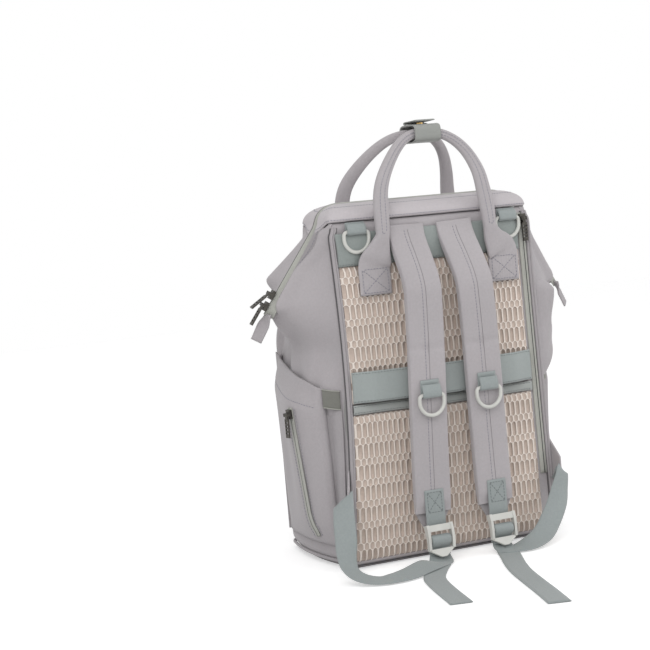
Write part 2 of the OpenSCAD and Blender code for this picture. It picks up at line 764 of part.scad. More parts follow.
// The soft handles lean a little to the right above the rim
function leaning(p) = p + [handle_lean * ease((p[2] - top_z) / handle_rise), 0, 0];
function handle_path(front) =
    let(half = concat(handle_leg(front), handle_arch(front)),
        other = [for (i = [len(half) - 2:-1:0]) [mirrored(half[i][0]), half[i][1], half[i][2]]])
    [for (s = concat(half, other)) [leaning(s[0]), s[1], s[2]]];

module handle_back() {
    color([0.67, 0.66, 0.68]) sweep(handle_path(false));
}

module handle_front() {
    color([0.67, 0.66, 0.68]) sweep(handle_path(true));
}

// Wrap around both handles, closed on top by a flap with a snap
wrap_t = 1.6;
wrap_x = handle_lean;
wrap_in_y = 2 * apex_gap + handle_d + 3.6;
wrap_in_z = handle_d + 5.5;
wrap_mid_z = handle_top - 1.6;
wrap_r = 5;
module wrap_outline(grow) {
    translate([ridge_y, wrap_mid_z])
        union() {
            square([wrap_in_y - 2 * wrap_r + 2 * grow, wrap_in_z + 2 * grow], center = true);
            square([wrap_in_y + 2 * grow, wrap_in_z - 2 * wrap_r + 2 * grow], center = true);
            for (y = [-1, 1], z = [-1, 1])
                translate([y * (wrap_in_y / 2 - wrap_r), z * (wrap_in_z / 2 - wrap_r)]) circle(wrap_r + grow);
        }
}

module handle_wrap() {
    color([0.55, 0.58, 0.55])
        translate([wrap_x - wrap_l / 2, 0, 0])
            rotate([90, 0, 90])
                linear_extrude(wrap_l)
                    difference() {
                        wrap_outline(wrap_t);
                        wrap_outline(0);
                    }
}

snap_d = 10;
wrap_top = wrap_mid_z + wrap_in_z / 2 + wrap_t;
snap_h = 2.4;
module snap_stud() {
    color([0.72, 0.6, 0.35])
        translate([wrap_x, ridge_y, wrap_top + 0.05]) cylinder(d = snap_d - 2, h = snap_h);
}

flap_l = 26;
flap_t = 1.8;
flap_z = wrap_top + snap_h + 0.4;
flap_hinge_y = ridge_y + flap_l / 2;
module wrap_flap() {
    color([0.55, 0.58, 0.55]) {
        translate([wrap_x - wrap_l / 2 + 3, ridge_y - flap_l / 2, flap_z])
            cube([wrap_l - 6, flap_l, flap_t]);
        translate([wrap_x - wrap_l / 2 + 3, flap_hinge_y - 1.2, wrap_top + 0.4])
            cube([wrap_l - 6, 1.6, snap_h + 1]);
        translate([wrap_x, ridge_y, flap_z + flap_t - 0.2]) cylinder(d = snap_d, h = 1.2);
    }
}

// D-rings, their loops, and the places they hang

module d_ring() {
    color([0.76, 0.78, 0.75]) {
        rotate([0, 90, 0]) cylinder(d = ring_rod, h = 2 * ring_half + ring_rod, center = true);
        for (side = [-1, 1])
            translate([side * ring_half, 0, -ring_leg]) cylinder(d = ring_rod - 0.2, h = ring_leg);
        translate([0, 0, -ring_leg])
            rotate([-90, 0, 0])
                rotate_extrude(angle = 180) translate([ring_half, 0]) circle(d = ring_rod - 0.2);
    }
}

module bar_loop(w, l, rod) {
    outer = rod / 2 + bar_clear + web_t;
    difference() {
        union() {
            rotate([0, 90, 0]) cylinder(r = outer, h = w, center = true);
            translate([-w / 2, -outer, 0]) cube([w, web_t, l]);
        }
        rotate([0, 90, 0]) cylinder(r = rod / 2 + bar_clear, h = w + 2, center = true);
    }
}

module facing_back(p, tilt = 0) {
    translate(p) rotate([tilt, 0, 0]) rotate([0, 0, 180]) children();
}

top_ring_out = 29.5;
top_ring_x = handle_half + top_ring_out;
top_ring_z = seam_z - 12;
top_ring_y = -half_d - web_t - 2 * clear - loop_r;
module top_ring_tabs() {
    color([0.5, 0.53, 0.51])
        for (side = [-1, 1])
            facing_back([side * top_ring_x, top_ring_y, top_ring_z]) bar_loop(web_w - 1, 9, ring_rod);
}

module left_top_ring() {
    facing_back([-top_ring_x, top_ring_y, top_ring_z]) d_ring();
}

module right_top_ring() {
    facing_back([top_ring_x, top_ring_y, top_ring_z]) d_ring();
}

// Shoulder straps: padded, bowing out below the top seam and hanging down the back

strap_top_z = seam_z - 9;
strap_end_t = 5;
strap_stand = 1.2;
strap_rest_y = -half_d - web_t - strap_end_t / 2 - strap_stand;
strap_run = 80;
strap_bow = 34;
strap_return = 10;
strap_top_x = [-0.265 * half_w, 0.2 * half_w];
strap_low_x = [-0.316 * half_w, 0.294 * half_w];
function strap_y(z) =
    strap_rest_y - strap_bow * ease((strap_top_z - z) / strap_run)
    + strap_return * ease((strap_top_z - strap_run - z) / (strap_top_z - strap_run - strap_end_z));
function strap_x(k, z) =
    mix(strap_low_x[k], strap_top_x[k], (z - strap_end_z) / (strap_top_z - strap_end_z));
function strap_point(k, z) = [strap_x(k, z), strap_y(z), z];
function strap_tilt(z) = atan2(strap_y(z - 4) - strap_y(z + 4), 8);

function strap_thickness(z) =
    mix(strap_end_t, strap_t, ease(min((strap_top_z - z) / 40, (z - strap_end_z) / 16)));

module strap(k) {
    zs = concat(steps(strap_top_z, strap_top_z - strap_run, 8), steps(strap_top_z - 105, strap_end_z + 16, 5),
                [strap_end_z + 6, strap_end_z]);
    color([0.66, 0.65, 0.67])
        sweep([for (z = zs)
            [strap_point(k, z), [0, -1, 0], pad_profile(strap_w, strap_thickness(z), 12, 0.45)]]);
}

module left_strap() {
    strap(0);
}

module right_strap() {
    strap(1);
}

// Point on a strap's outer face, standing off by out
function strap_face(k, z, out) =
    let(off = strap_t / 2 + clear + out, tilt = strap_tilt(z))
    strap_point(k, z) - [0, off * cos(tilt), off * sin(tilt)];
function strap_ring_pos(k) = strap_face(k, strap_ring_z, loop_r);

module strap_tab(k) {
    color([0.5, 0.53, 0.51])
        facing_back(strap_ring_pos(k), strap_tilt(strap_ring_z)) bar_loop(web_w - 1, 17, ring_rod);
}

module left_strap_tab() {
    strap_tab(0);
}

module right_strap_tab() {
    strap_tab(1);
}

module left_strap_ring() {
    facing_back(strap_ring_pos(0)) d_ring();
}

module right_strap_ring() {
    facing_back(strap_ring_pos(1)) d_ring();
}

// Ladder locks on sewn tabs below the straps

lock_bar_d = 4;
lock_bar_z = 41;
lock_tilt = -14;
lock_t = 5;
mid_bar_z = -14;
lock_loop_r = lock_bar_d / 2 + bar_clear + web_t;
function lock_pos(k) =
    [strap_low_x[k], strap_y(strap_end_z) - strap_t / 2 - clear - lock_loop_r, lock_bar_z];
module on_lock(k) {
    facing_back(lock_pos(k), 0) rotate([-lock_tilt, 0, 0]) children();
}

// Bowed side rails, a top plate in front of the tab's loop, two bars and a pointed thumb lip
lock_rail_w = 3.3;
lock_top = 4;
lock_bow = 1.8;
lock_lip_z = -25;
lip_t = 2.6;
lip_tilt = 14;
lip_lap = 0.8;
lip_in = 0.4;
lip_tip = 0.2;
plate_y = lock_loop_r + 0.2;
plate_t = 1.8;
plate_drop = 0.6;
bar_in = 1;
rail_proud = 0.2;
function rail_depth(z) =
    mix(lock_t / 2, plate_y + rail_proud + plate_t, ease((z - lock_lip_z) / (lock_top - lock_lip_z)));
function rail_bow(z) = lock_bow * sin(180 * (lock_top - z) / (lock_top - lock_lip_z));
module lock_rail() {
    zs = steps(lock_lip_z, lock_top, 8);
    rotate([90, 0, 90])
        linear_extrude(lock_rail_w)
            polygon(concat([for (z = zs) [rail_bow(z) + rail_depth(z), z]],
                           [for (z = reversed(zs)) [rail_bow(z) - lock_t / 2, z]]));
}

module lock_lip() {
    side = lock_w / 2 - lip_in;
    tip = lip_tip * side;
    drop = lock_h + lock_lip_z;
    translate([0, 0, lock_lip_z])
        rotate([lip_tilt, 0, 0])
            rotate([90, 0, 0])
                linear_extrude(lip_t, center = true)
                    polygon([[-side, lip_lap], [side, lip_lap], [side, 0],
                             [tip, -drop], [-tip, -drop], [-side, 0]]);
}

module ladder_lock() {
    inner_w = lock_w - 2 * bar_in;
    color([0.76, 0.78, 0.75]) {
        for (x = [-lock_w / 2, lock_w / 2 - lock_rail_w]) translate([x, 0, 0]) lock_rail();
        translate([-inner_w / 2, plate_y, -lock_top]) cube([inner_w, plate_t, 2 * lock_top - plate_drop]);
        rotate([0, 90, 0]) cylinder(d = lock_bar_d, h = inner_w, center = true);
        translate([0, rail_bow(mid_bar_z) / 2, mid_bar_z])
            rotate([0, 90, 0]) cylinder(d = lock_bar_d, h = inner_w, center = true);
        lock_lip();
    }
}

module left_lock() {
    on_lock(0) ladder_lock();
}

module right_lock() {
    on_lock(1) ladder_lock();
}

module lock_tab(k) {
    color([0.5, 0.53, 0.51])
        facing_back(lock_pos(k)) bar_loop(web_w, 44, lock_bar_d);
}

module left_lock_tab() {
    lock_tab(0);
}

module right_lock_tab() {
    lock_tab(1);
}

// Webbing: from the corner tab down to the floor, up through the lock and out as a loose tail

function lock_world(k, y, z) =
    lock_pos(k) + [0, -(y * cos(lock_tilt) - z * sin(-lock_tilt)), z * cos(lock_tilt) + y * sin(-lock_tilt)];
lock_turn = [[-9.6, -28.5], [-8, -23], [-6, -13.6], [-3.6, -9.4], [0, -8.3], [3.6, -10.2], [4.7, -14],
             [3.4, -17.8], [0.2, -20.4], [-3.2, -22.4], [-4.9, -26], [-5.2, -31]];
function turn_way(i) =
    let(d = lock_turn[min(i + 1, 11)] - lock_turn[max(i - 1, 0)]) d / norm(d);
function through_lock(k) =
    [for (i = [0:11])
        let(t = turn_way(i), here = lock_world(k, 0, 0))
        [lock_world(k, lock_turn[i][0], lock_turn[i][1]), lock_world(k, -t[1], t[0]) - here]];
floor_lift = web_t / 2 + 0.15;
corner_tab_z = 88;
corner_lap = 4;
corner_stand = web_t / 2 + 0.1;
corner_end_z = corner_tab_z - corner_lap;
corner_end = [[-half_w - 15, -half_d - 20, corner_end_z], [half_w + 2, -half_d - 23, corner_end_z]];
corner_normal = [[-1, -1, 0.1], [0.3, -1, 0.1]];
// Loose loop on the floor: share of the way from corner to lock, distance off the back, height, upper side
loop_runs = [
    [[-0.04, 27, 52, [-0.8, -1, 0]], [-0.01, 37, 29, [-0.8, -1, 0.5]], [0.1, 54, 12.4, [-0.7, -1, 0.9]],
     [0.36, 68, 8, [-0.1, -0.6, 0.9]], [0.66, 64, 6.4, [0.2, -0.4, 1]], [0.98, 47, 3, [0, -0.12, 1]]],
    [[0.1, 29, 56, [0.4, -1, 0]], [0.24, 37, 33, [0.6, -1, 0.4]], [0.38, 50, 14, [0.5, -1, 0.9]],
     [0.54, 61, 8, [0, -0.6, 0.9]], [0.74, 60, 6.4, [-0.2, -0.4, 1]], [0.99, 47, 3, [0, -0.12, 1]]]];
function loop_run(k) = concat(
    [[corner_end[k] + corner_stand * unit([corner_normal[k][0], corner_normal[k][1], 0]) - [0, 0, corner_lap],
      -corner_normal[k]]],
    [for (r = loop_runs[k]) [[mix(corner_end[k][0], strap_low_x[k], r[0]), -half_d - r[1], r[2]], -r[3]]]);
// Tail on the floor, as distances from the lock
tail_runs = [
    [[-7, -20], [-21, -44], [-45, -74], [-60, -120], [-73, -172], [-77, -188]],
    [[-3, -18], [-14, -44], [-28, -76], [-44, -120], [-70, -210], [-84, -256]]];
function tail(k) =
    [for (p = tail_runs[k]) [[lock_pos(k)[0] + p[0], lock_pos(k)[1] + p[1], floor_lift], [0, 0, 1]]];
module webbing(k) {
    color([0.55, 0.59, 0.57])
        sweep([for (s = concat(loop_run(k), through_lock(k), tail(k)))
            [s[0], s[1], flat_profile(web_w, web_t)]]);
}

module left_webbing() {
    webbing(0);
}

module right_webbing() {
    webbing(1);
}

// Triangular tabs that tie the webbing into the bottom corners
corner_tab_t = 1.6;
corner_root_h = 56;
corner_root_out = 3.6;
module corner_tabs() {
    color([0.63, 0.62, 0.63])
        for (k = [0, 1]) {
            root = [(k == 0 ? -1 : 1) * (half_w + corner_root_out), -half_d + 1, corner_tab_z];
            sweep([for (t = [0, 1])
                [mix(root, corner_end[k], t), [0, 0, 1],
                 flat_profile(corner_tab_t, mix(corner_root_h, web_w, t))]]);
        }
}

back_panel();
front_panel();
left_side_panel();
right_side_panel();
base_panel();
base_board();
lining();
rim_back();
rim_front();
frame_wire_back();
frame_wire_front();
main_zip();
zip_end_tabs();
main_slider_low();
main_pull_low();
main_slider_high();
main_pull_high();
mesh_upper();
mesh_lower();
top_band();
luggage_band();
mesh_binding();
back_zip();
back_slider();
back_pull();
back_pipings();
front_pipings();
base_piping();
left_pocket();
right_pocket();
left_elastics();
right_elastics();
pocket_zip();
pocket_slider();
pocket_pull();
front_pocket();
front_zip();
front_slider();
front_pull();
handle_back();
handle_front();
handle_wrap();
snap_stud();
wrap_flap();
top_ring_tabs();
left_top_ring();
right_top_ring();
left_strap();
left_strap_tab();
left_strap_ring();
left_lock_tab();
left_lock();
left_webbing();
right_strap();
right_strap_tab();
right_strap_ring();
right_lock_tab();
right_lock();
right_webbing();
corner_tabs();
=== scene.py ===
import bmesh
import bpy
import numpy as np
from mathutils import Matrix, Vector


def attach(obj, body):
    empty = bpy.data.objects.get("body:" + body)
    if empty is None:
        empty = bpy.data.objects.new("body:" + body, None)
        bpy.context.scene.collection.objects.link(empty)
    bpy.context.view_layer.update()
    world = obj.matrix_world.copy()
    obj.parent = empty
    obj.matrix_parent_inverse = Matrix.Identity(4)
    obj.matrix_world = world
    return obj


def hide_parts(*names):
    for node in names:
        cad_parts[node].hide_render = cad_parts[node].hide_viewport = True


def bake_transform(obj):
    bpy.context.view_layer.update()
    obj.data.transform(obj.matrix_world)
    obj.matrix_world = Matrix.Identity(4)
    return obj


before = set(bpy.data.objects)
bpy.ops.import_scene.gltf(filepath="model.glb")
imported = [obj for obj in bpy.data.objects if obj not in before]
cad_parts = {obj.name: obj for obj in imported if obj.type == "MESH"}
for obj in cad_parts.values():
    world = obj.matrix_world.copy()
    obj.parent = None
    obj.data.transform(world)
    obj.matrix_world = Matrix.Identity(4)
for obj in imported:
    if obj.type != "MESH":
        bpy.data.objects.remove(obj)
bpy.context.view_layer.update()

MM = 0.001
IMAGE_PX = 650

# Sizes of the bag, as in the part's source
HALF_W, HALF_D = 136.0, 92.0
SEAM_Z, RIM_H, TOP_TAPER = 400.0, 21.0, 7.0
EDGE_R, BACK_CROWN, CROWN_FLAT = 18.0, 10.0, 0.8
HORN_DROP, SHOULDER_DROP = 88.0, 150.0
TOP_Z = SEAM_Z + RIM_H
HORN_Z = SEAM_Z - HORN_DROP
SHOULDER_Z = SEAM_Z - SHOULDER_DROP
HORN_X, HORN_Y = HALF_W + 54, -HALF_D + 52
RIDGE_Y = -HALF_D + 35
FRONT_TOP_Y = RIDGE_Y + 35
FRAME_X, RIDGE_HW, SIDE_X = HALF_W - 5, HALF_W - 36, HALF_W + 10
FRONT_HALF_W = HALF_W - 4
CHEEK_OUT, CHEEK_LOW_Z, CHEEK_PEAK_Z, CHEEK_TOP_Z = 27.0, HORN_Z, HORN_Z + 30, SEAM_Z - 10
CHEEK_WAY = np.array([0.85, 0.53, 0.0])
PANEL_FOOT, PANEL_T = 3.4, 2.4
CLEAR = 0.4
WEB_T, WEB_W = 1.5, 25.0
# Pull of the left back seam: its depth, and where it starts and grows in x and in y
SEAM_PULL = 9.0
PULL_FROM_X, PULL_OVER_X = 40.0, 85.0
PULL_FROM_Y, PULL_OVER_Y = 48.0, 38.0
# Ways in the frame
TO_STRAPS, TO_FRONT, TO_RIGHT, UP = (0, -1.0, 0), (0, 1.0, 0), (1.0, 0, 0), (0, 0, 1.0)


# Small maths


def mix(a, b, t):
    return a + (b - a) * t


def clamp01(t):
    return np.clip(t, 0.0, 1.0)


def ease(t):
    u = clamp01(t)
    return u * u * (3 - 2 * u)


def unit(v):
    v = np.asarray(v, float)
    return v / np.linalg.norm(v, axis=-1, keepdims=True)


def bump(x, middle, width):
    return np.exp(-(((x - middle) / width) ** 2))


def folds(table, s, z):
    """Sum of soft folds: depth, place and half width along s, then height, slope and half height."""
    total = 0 * z
    for depth, middle, width, height, slope, tall in table.values():
        total = total + depth * bump(s, middle, width) * bump(z, height + slope * (s - middle), tall)
    return total


def run_through(stops, counts):
    """Numbers that run through the stops, with a count of points on each stretch."""
    runs = [np.linspace(a, b, n)[:-1] for a, b, n in zip(stops, stops[1:], counts)]
    return np.concatenate([*runs, stops[-1:]])


def mirrored(points):
    return np.asarray(points, float) * [-1, 1, 1]


def spline(points, per=8):
    """Smooth curve through rows of numbers, per steps from one row to the next."""
    points = np.asarray(points, float)
    padded = np.vstack([2 * points[0] - points[1], points, 2 * points[-1] - points[-2]])
    t = np.linspace(0, 1, per, endpoint=False)[:, None]
    runs = []
    for a, b, c, d in zip(padded[:-3], padded[1:-2], padded[2:-1], padded[3:]):
        curve = 2 * b + (c - a) * t + (2 * a - 5 * b + 4 * c - d) * t**2
        runs.append((curve + (3 * b - a - 3 * c + d) * t**3) / 2)
    return np.vstack([*runs, points[-1:]])


def lengths_along(points):
    steps = np.linalg.norm(np.diff(points, axis=0), axis=1)
    return np.concatenate([[0.0], np.cumsum(steps)])


def sample(points, normals, where):
    """Points and normals of a polyline at the given lengths along it."""
    s = lengths_along(points)
    at = np.stack([np.interp(where, s, points[:, k]) for k in range(3)], -1)
    out = np.stack([np.interp(where, s, normals[:, k]) for k in range(3)], -1)
    return at, unit(out)


# Surface of the bag: one horizontal section at each height


def dome(z):
    return np.sqrt(np.maximum(0, 1 - clamp01((z - SEAM_Z) / RIM_H) ** 2))


def tuck(z):
    drop = np.maximum(0, EDGE_R - z)
    return EDGE_R - np.sqrt(EDGE_R**2 - drop**2)


def lean(z):
    return ease((z - SHOULDER_Z) / SHOULDER_DROP)


def flare(z):
    return ease((z - SHOULDER_Z) / (HORN_Z - SHOULDER_Z))


def climb(z):
    return clamp01((z - HORN_Z) / HORN_DROP)


def back_hw(z):
    return mix(RIDGE_HW, HALF_W - TOP_TAPER * np.minimum(z, SEAM_Z) / SEAM_Z - tuck(z), dome(z))


def back_y(z):
    return mix(RIDGE_Y, -HALF_D + tuck(z), dome(z))


def front_hw(z):
    return mix(RIDGE_HW, FRONT_HALF_W - tuck(z), dome(z))


def front_y(z):
    return mix(RIDGE_Y, mix(HALF_D, FRONT_TOP_Y, lean(z)) - tuck(z), dome(z))


def apex_x(z):
    slant = mix(mix(SIDE_X, HORN_X, flare(z)), FRAME_X, climb(z))
    return mix(RIDGE_HW, slant - tuck(z), dome(z))


def apex_y(z):
    return mix(mix(0, HORN_Y, flare(z)), RIDGE_Y, climb(z))


def crown(q, z):
    swell = np.maximum(0, 1 - (np.abs(q) / CROWN_FLAT) ** 2) ** 2
    return BACK_CROWN * swell * np.sin(np.pi * clamp01(z / SEAM_Z)) * (z <= SEAM_Z)


def stacked(x, y, z):
    return np.stack(np.broadcast_arrays(x, y, z), -1).astype(float)


def back_point(z, q):
    return stacked(q * back_hw(z), back_y(z) - crown(q, z), z)


def front_point(z, q):
    return stacked(q * front_hw(z), front_y(z), z)


def cheek(z, s):
    """Puff of the side in front of the zip, widest just above the horn."""
    rise = ease((z - CHEEK_LOW_Z) / (CHEEK_PEAK_Z - CHEEK_LOW_Z))
    fall = clamp01((CHEEK_TOP_Z - z) / (CHEEK_TOP_Z - CHEEK_PEAK_Z))
    return CHEEK_OUT * np.where(s < 0.5, 0.0, np.sin(np.pi * (2 * s - 1)) ** 2) * np.minimum(rise, fall)


def side_point(z, s):
    """Point of the right side: s runs from 0 at the back seam to 1 at the front one."""
    s3 = np.asarray(s)[..., None]
    a = stacked(back_hw(z), back_y(z), z)
    f = stacked(front_hw(z), front_y(z), z)
    p = stacked(apex_x(z), apex_y(z), z)
    c = 2 * p - (a + f) / 2
    soft = (1 - s3) ** 2 * a + 2 * s3 * (1 - s3) * c + s3**2 * f
    folded = np.where(s3 < 0.5, mix(a, p, 2 * s3), mix(p, f, 2 * s3 - 1))
    return mix(soft, folded, flare(z)[..., None]) + cheek(z, s)[..., None] * CHEEK_WAY


def back_x(x, z, out):
    return stacked(x, back_y(z) - crown(x / back_hw(z), z) - out, z)


def drawn_in(points):
    """The left back seam curves inwards at mid-height, where the full side pulls on it."""
    x, y, z = np.moveaxis(points, -1, 0)
    near = ease((-x - PULL_FROM_X) / PULL_OVER_X) * ease((-y - PULL_FROM_Y) / PULL_OVER_Y)
    return points + stacked(SEAM_PULL * np.sin(np.pi * clamp01(z / SEAM_Z)) * near, 0, 0)


def sided(points, flip):
    """The right side's points, or the same for the left side."""
    return drawn_in(mirrored(points)[:, ::-1]) if flip < 0 else points


def grid_of(rows, cols):
    """Two arrays that run over all rows and columns."""
    return np.meshgrid(np.asarray(rows, float), np.asarray(cols, float), indexing="ij")


def grid_normals(points):
    return unit(np.cross(np.gradient(points, axis=1), np.gradient(points, axis=0)))


def pushed(points, by):
    return points + grid_normals(points) * np.asarray(by)[..., None]


# Mesh building


def new_object(name, points, faces, materials, uvs=None, face_slots=None):
    mesh = bpy.data.meshes.new(name)
    mesh.from_pydata((np.asarray(points, float).reshape(-1, 3) * MM).tolist(), [], faces)
    for material in materials:
        mesh.materials.append(material)
    if face_slots is not None:
        mesh.polygons.foreach_set("material_index", np.asarray(face_slots, np.int32))
    mesh.polygons.foreach_set("use_smooth", [True] * len(mesh.polygons))
    if uvs is not None:
        corners = np.zeros(len(mesh.loops), np.int32)
        mesh.loops.foreach_get("vertex_index", corners)
        layer = mesh.uv_layers.new(name="UVMap")
        layer.data.foreach_set("uv", np.asarray(uvs, np.float32)[corners].ravel())
    mesh.update()
    obj = bpy.data.objects.new(name, mesh)
    bpy.context.scene.collection.objects.link(obj)
    return obj


def grid_faces(rows, cols, closed=False):
    last = cols if closed else cols - 1
    faces = []
    for i in range(rows - 1):
        for j in range(last):
            k = (j + 1) % cols
            faces.append((i * cols + j, i * cols + k, (i + 1) * cols + k, (i + 1) * cols + j))
    return faces


def metric_uvs(points):
    """Coordinates in metres along the rows and columns of a grid, so that a weave keeps its scale."""
    across = np.linalg.norm(np.diff(points, axis=1), axis=2).mean(0)
    up = np.linalg.norm(np.diff(points, axis=0), axis=2).mean(1)
    u = np.concatenate([[0], np.cumsum(across)])
    v = np.concatenate([[0], np.cumsum(up)])
    return np.stack(np.broadcast_arrays(u[None, :], v[:, None]), -1).reshape(-1, 2) * MM


def add_modifier(obj, kind, **settings):
    modifier = obj.modifiers.new(kind.title(), kind)
    for key, value in settings.items():
        setattr(modifier, key, value)
    return obj


def cloth(name, points, material, thickness=PANEL_T):
    """Sheet of cloth with its outside on the grid of points."""
    rows, cols = points.shape[:2]
    obj = new_object(name, points, grid_faces(rows, cols), [material], metric_uvs(points))
    return add_modifier(obj, "SOLIDIFY", thickness=thickness * MM, offset=-1.0)


def path_frame(path, normals):
    """Ways along a path, across it and out of it."""
    way = unit(np.gradient(path, axis=0))
    across = unit(np.cross(normals, way))
    return way, across, np.cross(way, across)


def plane_normals(path):
    """Normals of a ribbon that turns in an upright plane."""
    return np.cross(unit(np.gradient(path, axis=0)), TO_RIGHT)


def upright(flat, tilt=0.0):
    """Points of an upright plane, given as (outwards, up) and tilted about the x axis."""
    out, up = np.asarray(flat, float).T
    c, s = np.cos(tilt), np.sin(tilt)
    return stacked(0, -(out * c + up * s), up * c - out * s)


def sweep_points(path, normals, profiles):
    """Loops of a profile set across a path, the profile's y along the normal."""
    _, across, out = path_frame(path, normals)
    profiles = np.broadcast_to(profiles, (len(path), *np.shape(profiles)[-2:]))
    return path[:, None] + across[:, None] * profiles[..., :1] + out[:, None] * profiles[..., 1:]


def tube(name, loops, materials, ring=False, face_slots=None):
    """Closed solid through loops of points; a ring has no ends."""
    rows, cols = loops.shape[:2]
    if ring:
        loops = np.concatenate([loops, loops[:1]])
        rows += 1
    faces = grid_faces(rows, cols, closed=True)
    slots = [] if face_slots is None else list(np.tile(face_slots, rows - 1))
    if not ring:
        faces.append(tuple(range(cols))[::-1])
        faces.append(tuple(range((rows - 1) * cols, rows * cols)))
        slots += [0, 0]
    obj = new_object(
        name, loops, faces, materials, metric_uvs(loops), slots if face_slots is not None else None
    )
    if ring:
        merge_close(obj)
    return obj


def merge_close(obj, distance=0.01):
    work = bmesh.new()
    work.from_mesh(obj.data)
    bmesh.ops.remove_doubles(work, verts=work.verts, dist=distance * MM)
    bmesh.ops.dissolve_degenerate(work, edges=work.edges, dist=distance * MM)
    work.to_mesh(obj.data)
    work.free()
    return obj


def oval(w, t, power=0.6, count=24):
    """Closed outline of a soft strap or pad; a small power is boxier."""
    a = 2 * np.pi * (np.arange(count) + 0.5) / count
    x = np.sign(np.cos(a)) * np.abs(np.cos(a)) ** power
    y = np.sign(np.sin(a)) * np.abs(np.sin(a)) ** power
    return np.stack([x * w / 2, y * t / 2], -1)


def ribbon_outline(w, t, count=12):
    """Flat outline with softly rounded edges."""
    xs = np.linspace(1, -1, count)
    soft = np.sqrt(1 - np.abs(xs) ** 14) * 0.7 + 0.3
    top = np.stack([xs * w / 2, soft * t / 2], -1)
    return np.vstack([top, top[::-1] * [1, -1]])


STITCH_SIDES = 6


def stitch_template():
    a = 2 * np.pi * np.arange(STITCH_SIDES) / STITCH_SIDES
    rings = [(-0.5, 0.4), (-0.36, 1.0), (0.36, 1.0), (0.5, 0.4)]
    points = [[r * np.cos(t) / 2, 0.7 * r * np.sin(t) / 2, z] for z, r in rings for t in a]
    faces = grid_faces(len(rings), STITCH_SIDES, closed=True)
    faces.append(tuple(range(STITCH_SIDES))[::-1])
    faces.append(tuple(range(len(points) - STITCH_SIDES, len(points))))
    return np.array(points), faces


def stitches(name, rows, material, length=2.5, pitch=3.7, width=0.78):
    """Sewing stitches along rows of (points, normals)."""
    template, template_faces = stitch_template()
    points, faces = [], []
    for line, normals in rows:
        line = np.asarray(line, float)
        normals = np.broadcast_to(np.asarray(normals, float), line.shape)
        total = lengths_along(line)[-1]
        middles = np.arange(pitch / 2, total - pitch / 4, pitch)
        starts, _ = sample(line, normals, middles - length / 2)
        ends, _ = sample(line, normals, middles + length / 2)
        centres, outs = sample(line, normals, middles)
        way = unit(ends - starts)
        across = unit(np.cross(outs, way))
        for c, d, w, n in zip(centres, way, across, np.cross(way, across)):
            base = len(points) * len(template)
            local = template * [width, width, length]
            points.append(c + n * 0.1 + local @ np.stack([w, n, d]))
            faces += [tuple(base + i for i in f) for f in template_faces]
    return new_object(name, np.array(points), faces, [material])


def placed(obj, body, slot, *nodes):
    """Piece that rides on a body and stands for CAD nodes, which it hides; its slot is not used."""
    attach(obj, body)
    if nodes:
        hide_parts(*nodes)
    return obj


def sewn(name, points, material, thickness, *nodes):
    """Sheet of canvas that belongs to the bag itself."""
    return placed(cloth(name, points, material, thickness), "bag", "grey_canvas", *nodes)


def sewing(name, rows, material, body="bag", slot="grey_canvas"):
    return placed(stitches(name, rows, material), body, slot)


def box_cross(low, high, side, count, normal):
    """Rows of a stitched box with a cross in it, between the middles of its lower and upper edge."""
    box = [low - side, low + side, high + side, high - side, low - side]
    ends = [*zip(box, box[1:]), (low - side, high + side), (low + side, high - side)]
    return [(np.linspace(a, b, count), normal) for a, b in ends]


# Materials


def linear(colour):
    return tuple(c / 12.92 if c <= 0.04045 else ((c + 0.055) / 1.055) ** 2.4 for c in colour) + (1.0,)


def shader(name, roughness, constants=()):
    material = bpy.data.materials.new(name)
    material.use_nodes = True
    tree = material.node_tree
    principled = tree.nodes["Principled BSDF"]
    principled.inputs["Roughness"].default_value = roughness
    for key, value in constants:
        principled.inputs[key].default_value = value
    return material, tree, principled


def add_node(tree, kind, links=(), **settings):
    """New node; links are (input name, output socket or constant) pairs."""
    node = tree.nodes.new(kind)
    for key, value in settings.items():
        setattr(node, key, value)
    for key, value in links:
        if isinstance(value, bpy.types.NodeSocket):
            tree.links.new(value, node.inputs[key])
        else:
            node.inputs[key].default_value = value
    return node


def noise(tree, vector, scale, detail=2.0):
    return add_node(
        tree, "ShaderNodeTexNoise", [("Vector", vector), ("Scale", scale), ("Detail", detail)]
    ).outputs["Fac"]


def maths(tree, operation, a, b):
    return add_node(tree, "ShaderNodeMath", [(0, a), (1, b)], operation=operation).outputs[0]


WAVE_PERIOD = 0.314


def bands(tree, vector, pitch, direction="X", distortion=0.0):
    """Wave with the given pitch in millimetres."""
    links = [("Vector", vector), ("Scale", WAVE_PERIOD / (pitch * MM)), ("Distortion", distortion)]
    return add_node(tree, "ShaderNodeTexWave", links, bands_direction=direction).outputs["Fac"]


def varied_colour(tree, principled, fac, dark, light):
    ramp = add_node(tree, "ShaderNodeValToRGB", [("Fac", fac)])
    ramp.color_ramp.elements[0].position = 0.25
    ramp.color_ramp.elements[1].position = 0.75
    ramp.color_ramp.elements[0].color = linear(dark)
    ramp.color_ramp.elements[1].color = linear(light)
    tree.links.new(ramp.outputs["Color"], principled.inputs["Base Color"])


def bumped(tree, principled, height, strength, depth):
    node = add_node(
        tree,
        "ShaderNodeBump",
        [("Height", height), ("Strength", strength), ("Distance", depth * MM)],
    )
    tree.links.new(node.outputs["Normal"], principled.inputs["Normal"])


def shade(colour, by):
    return tuple(min(1.0, c * by) for c in colour)


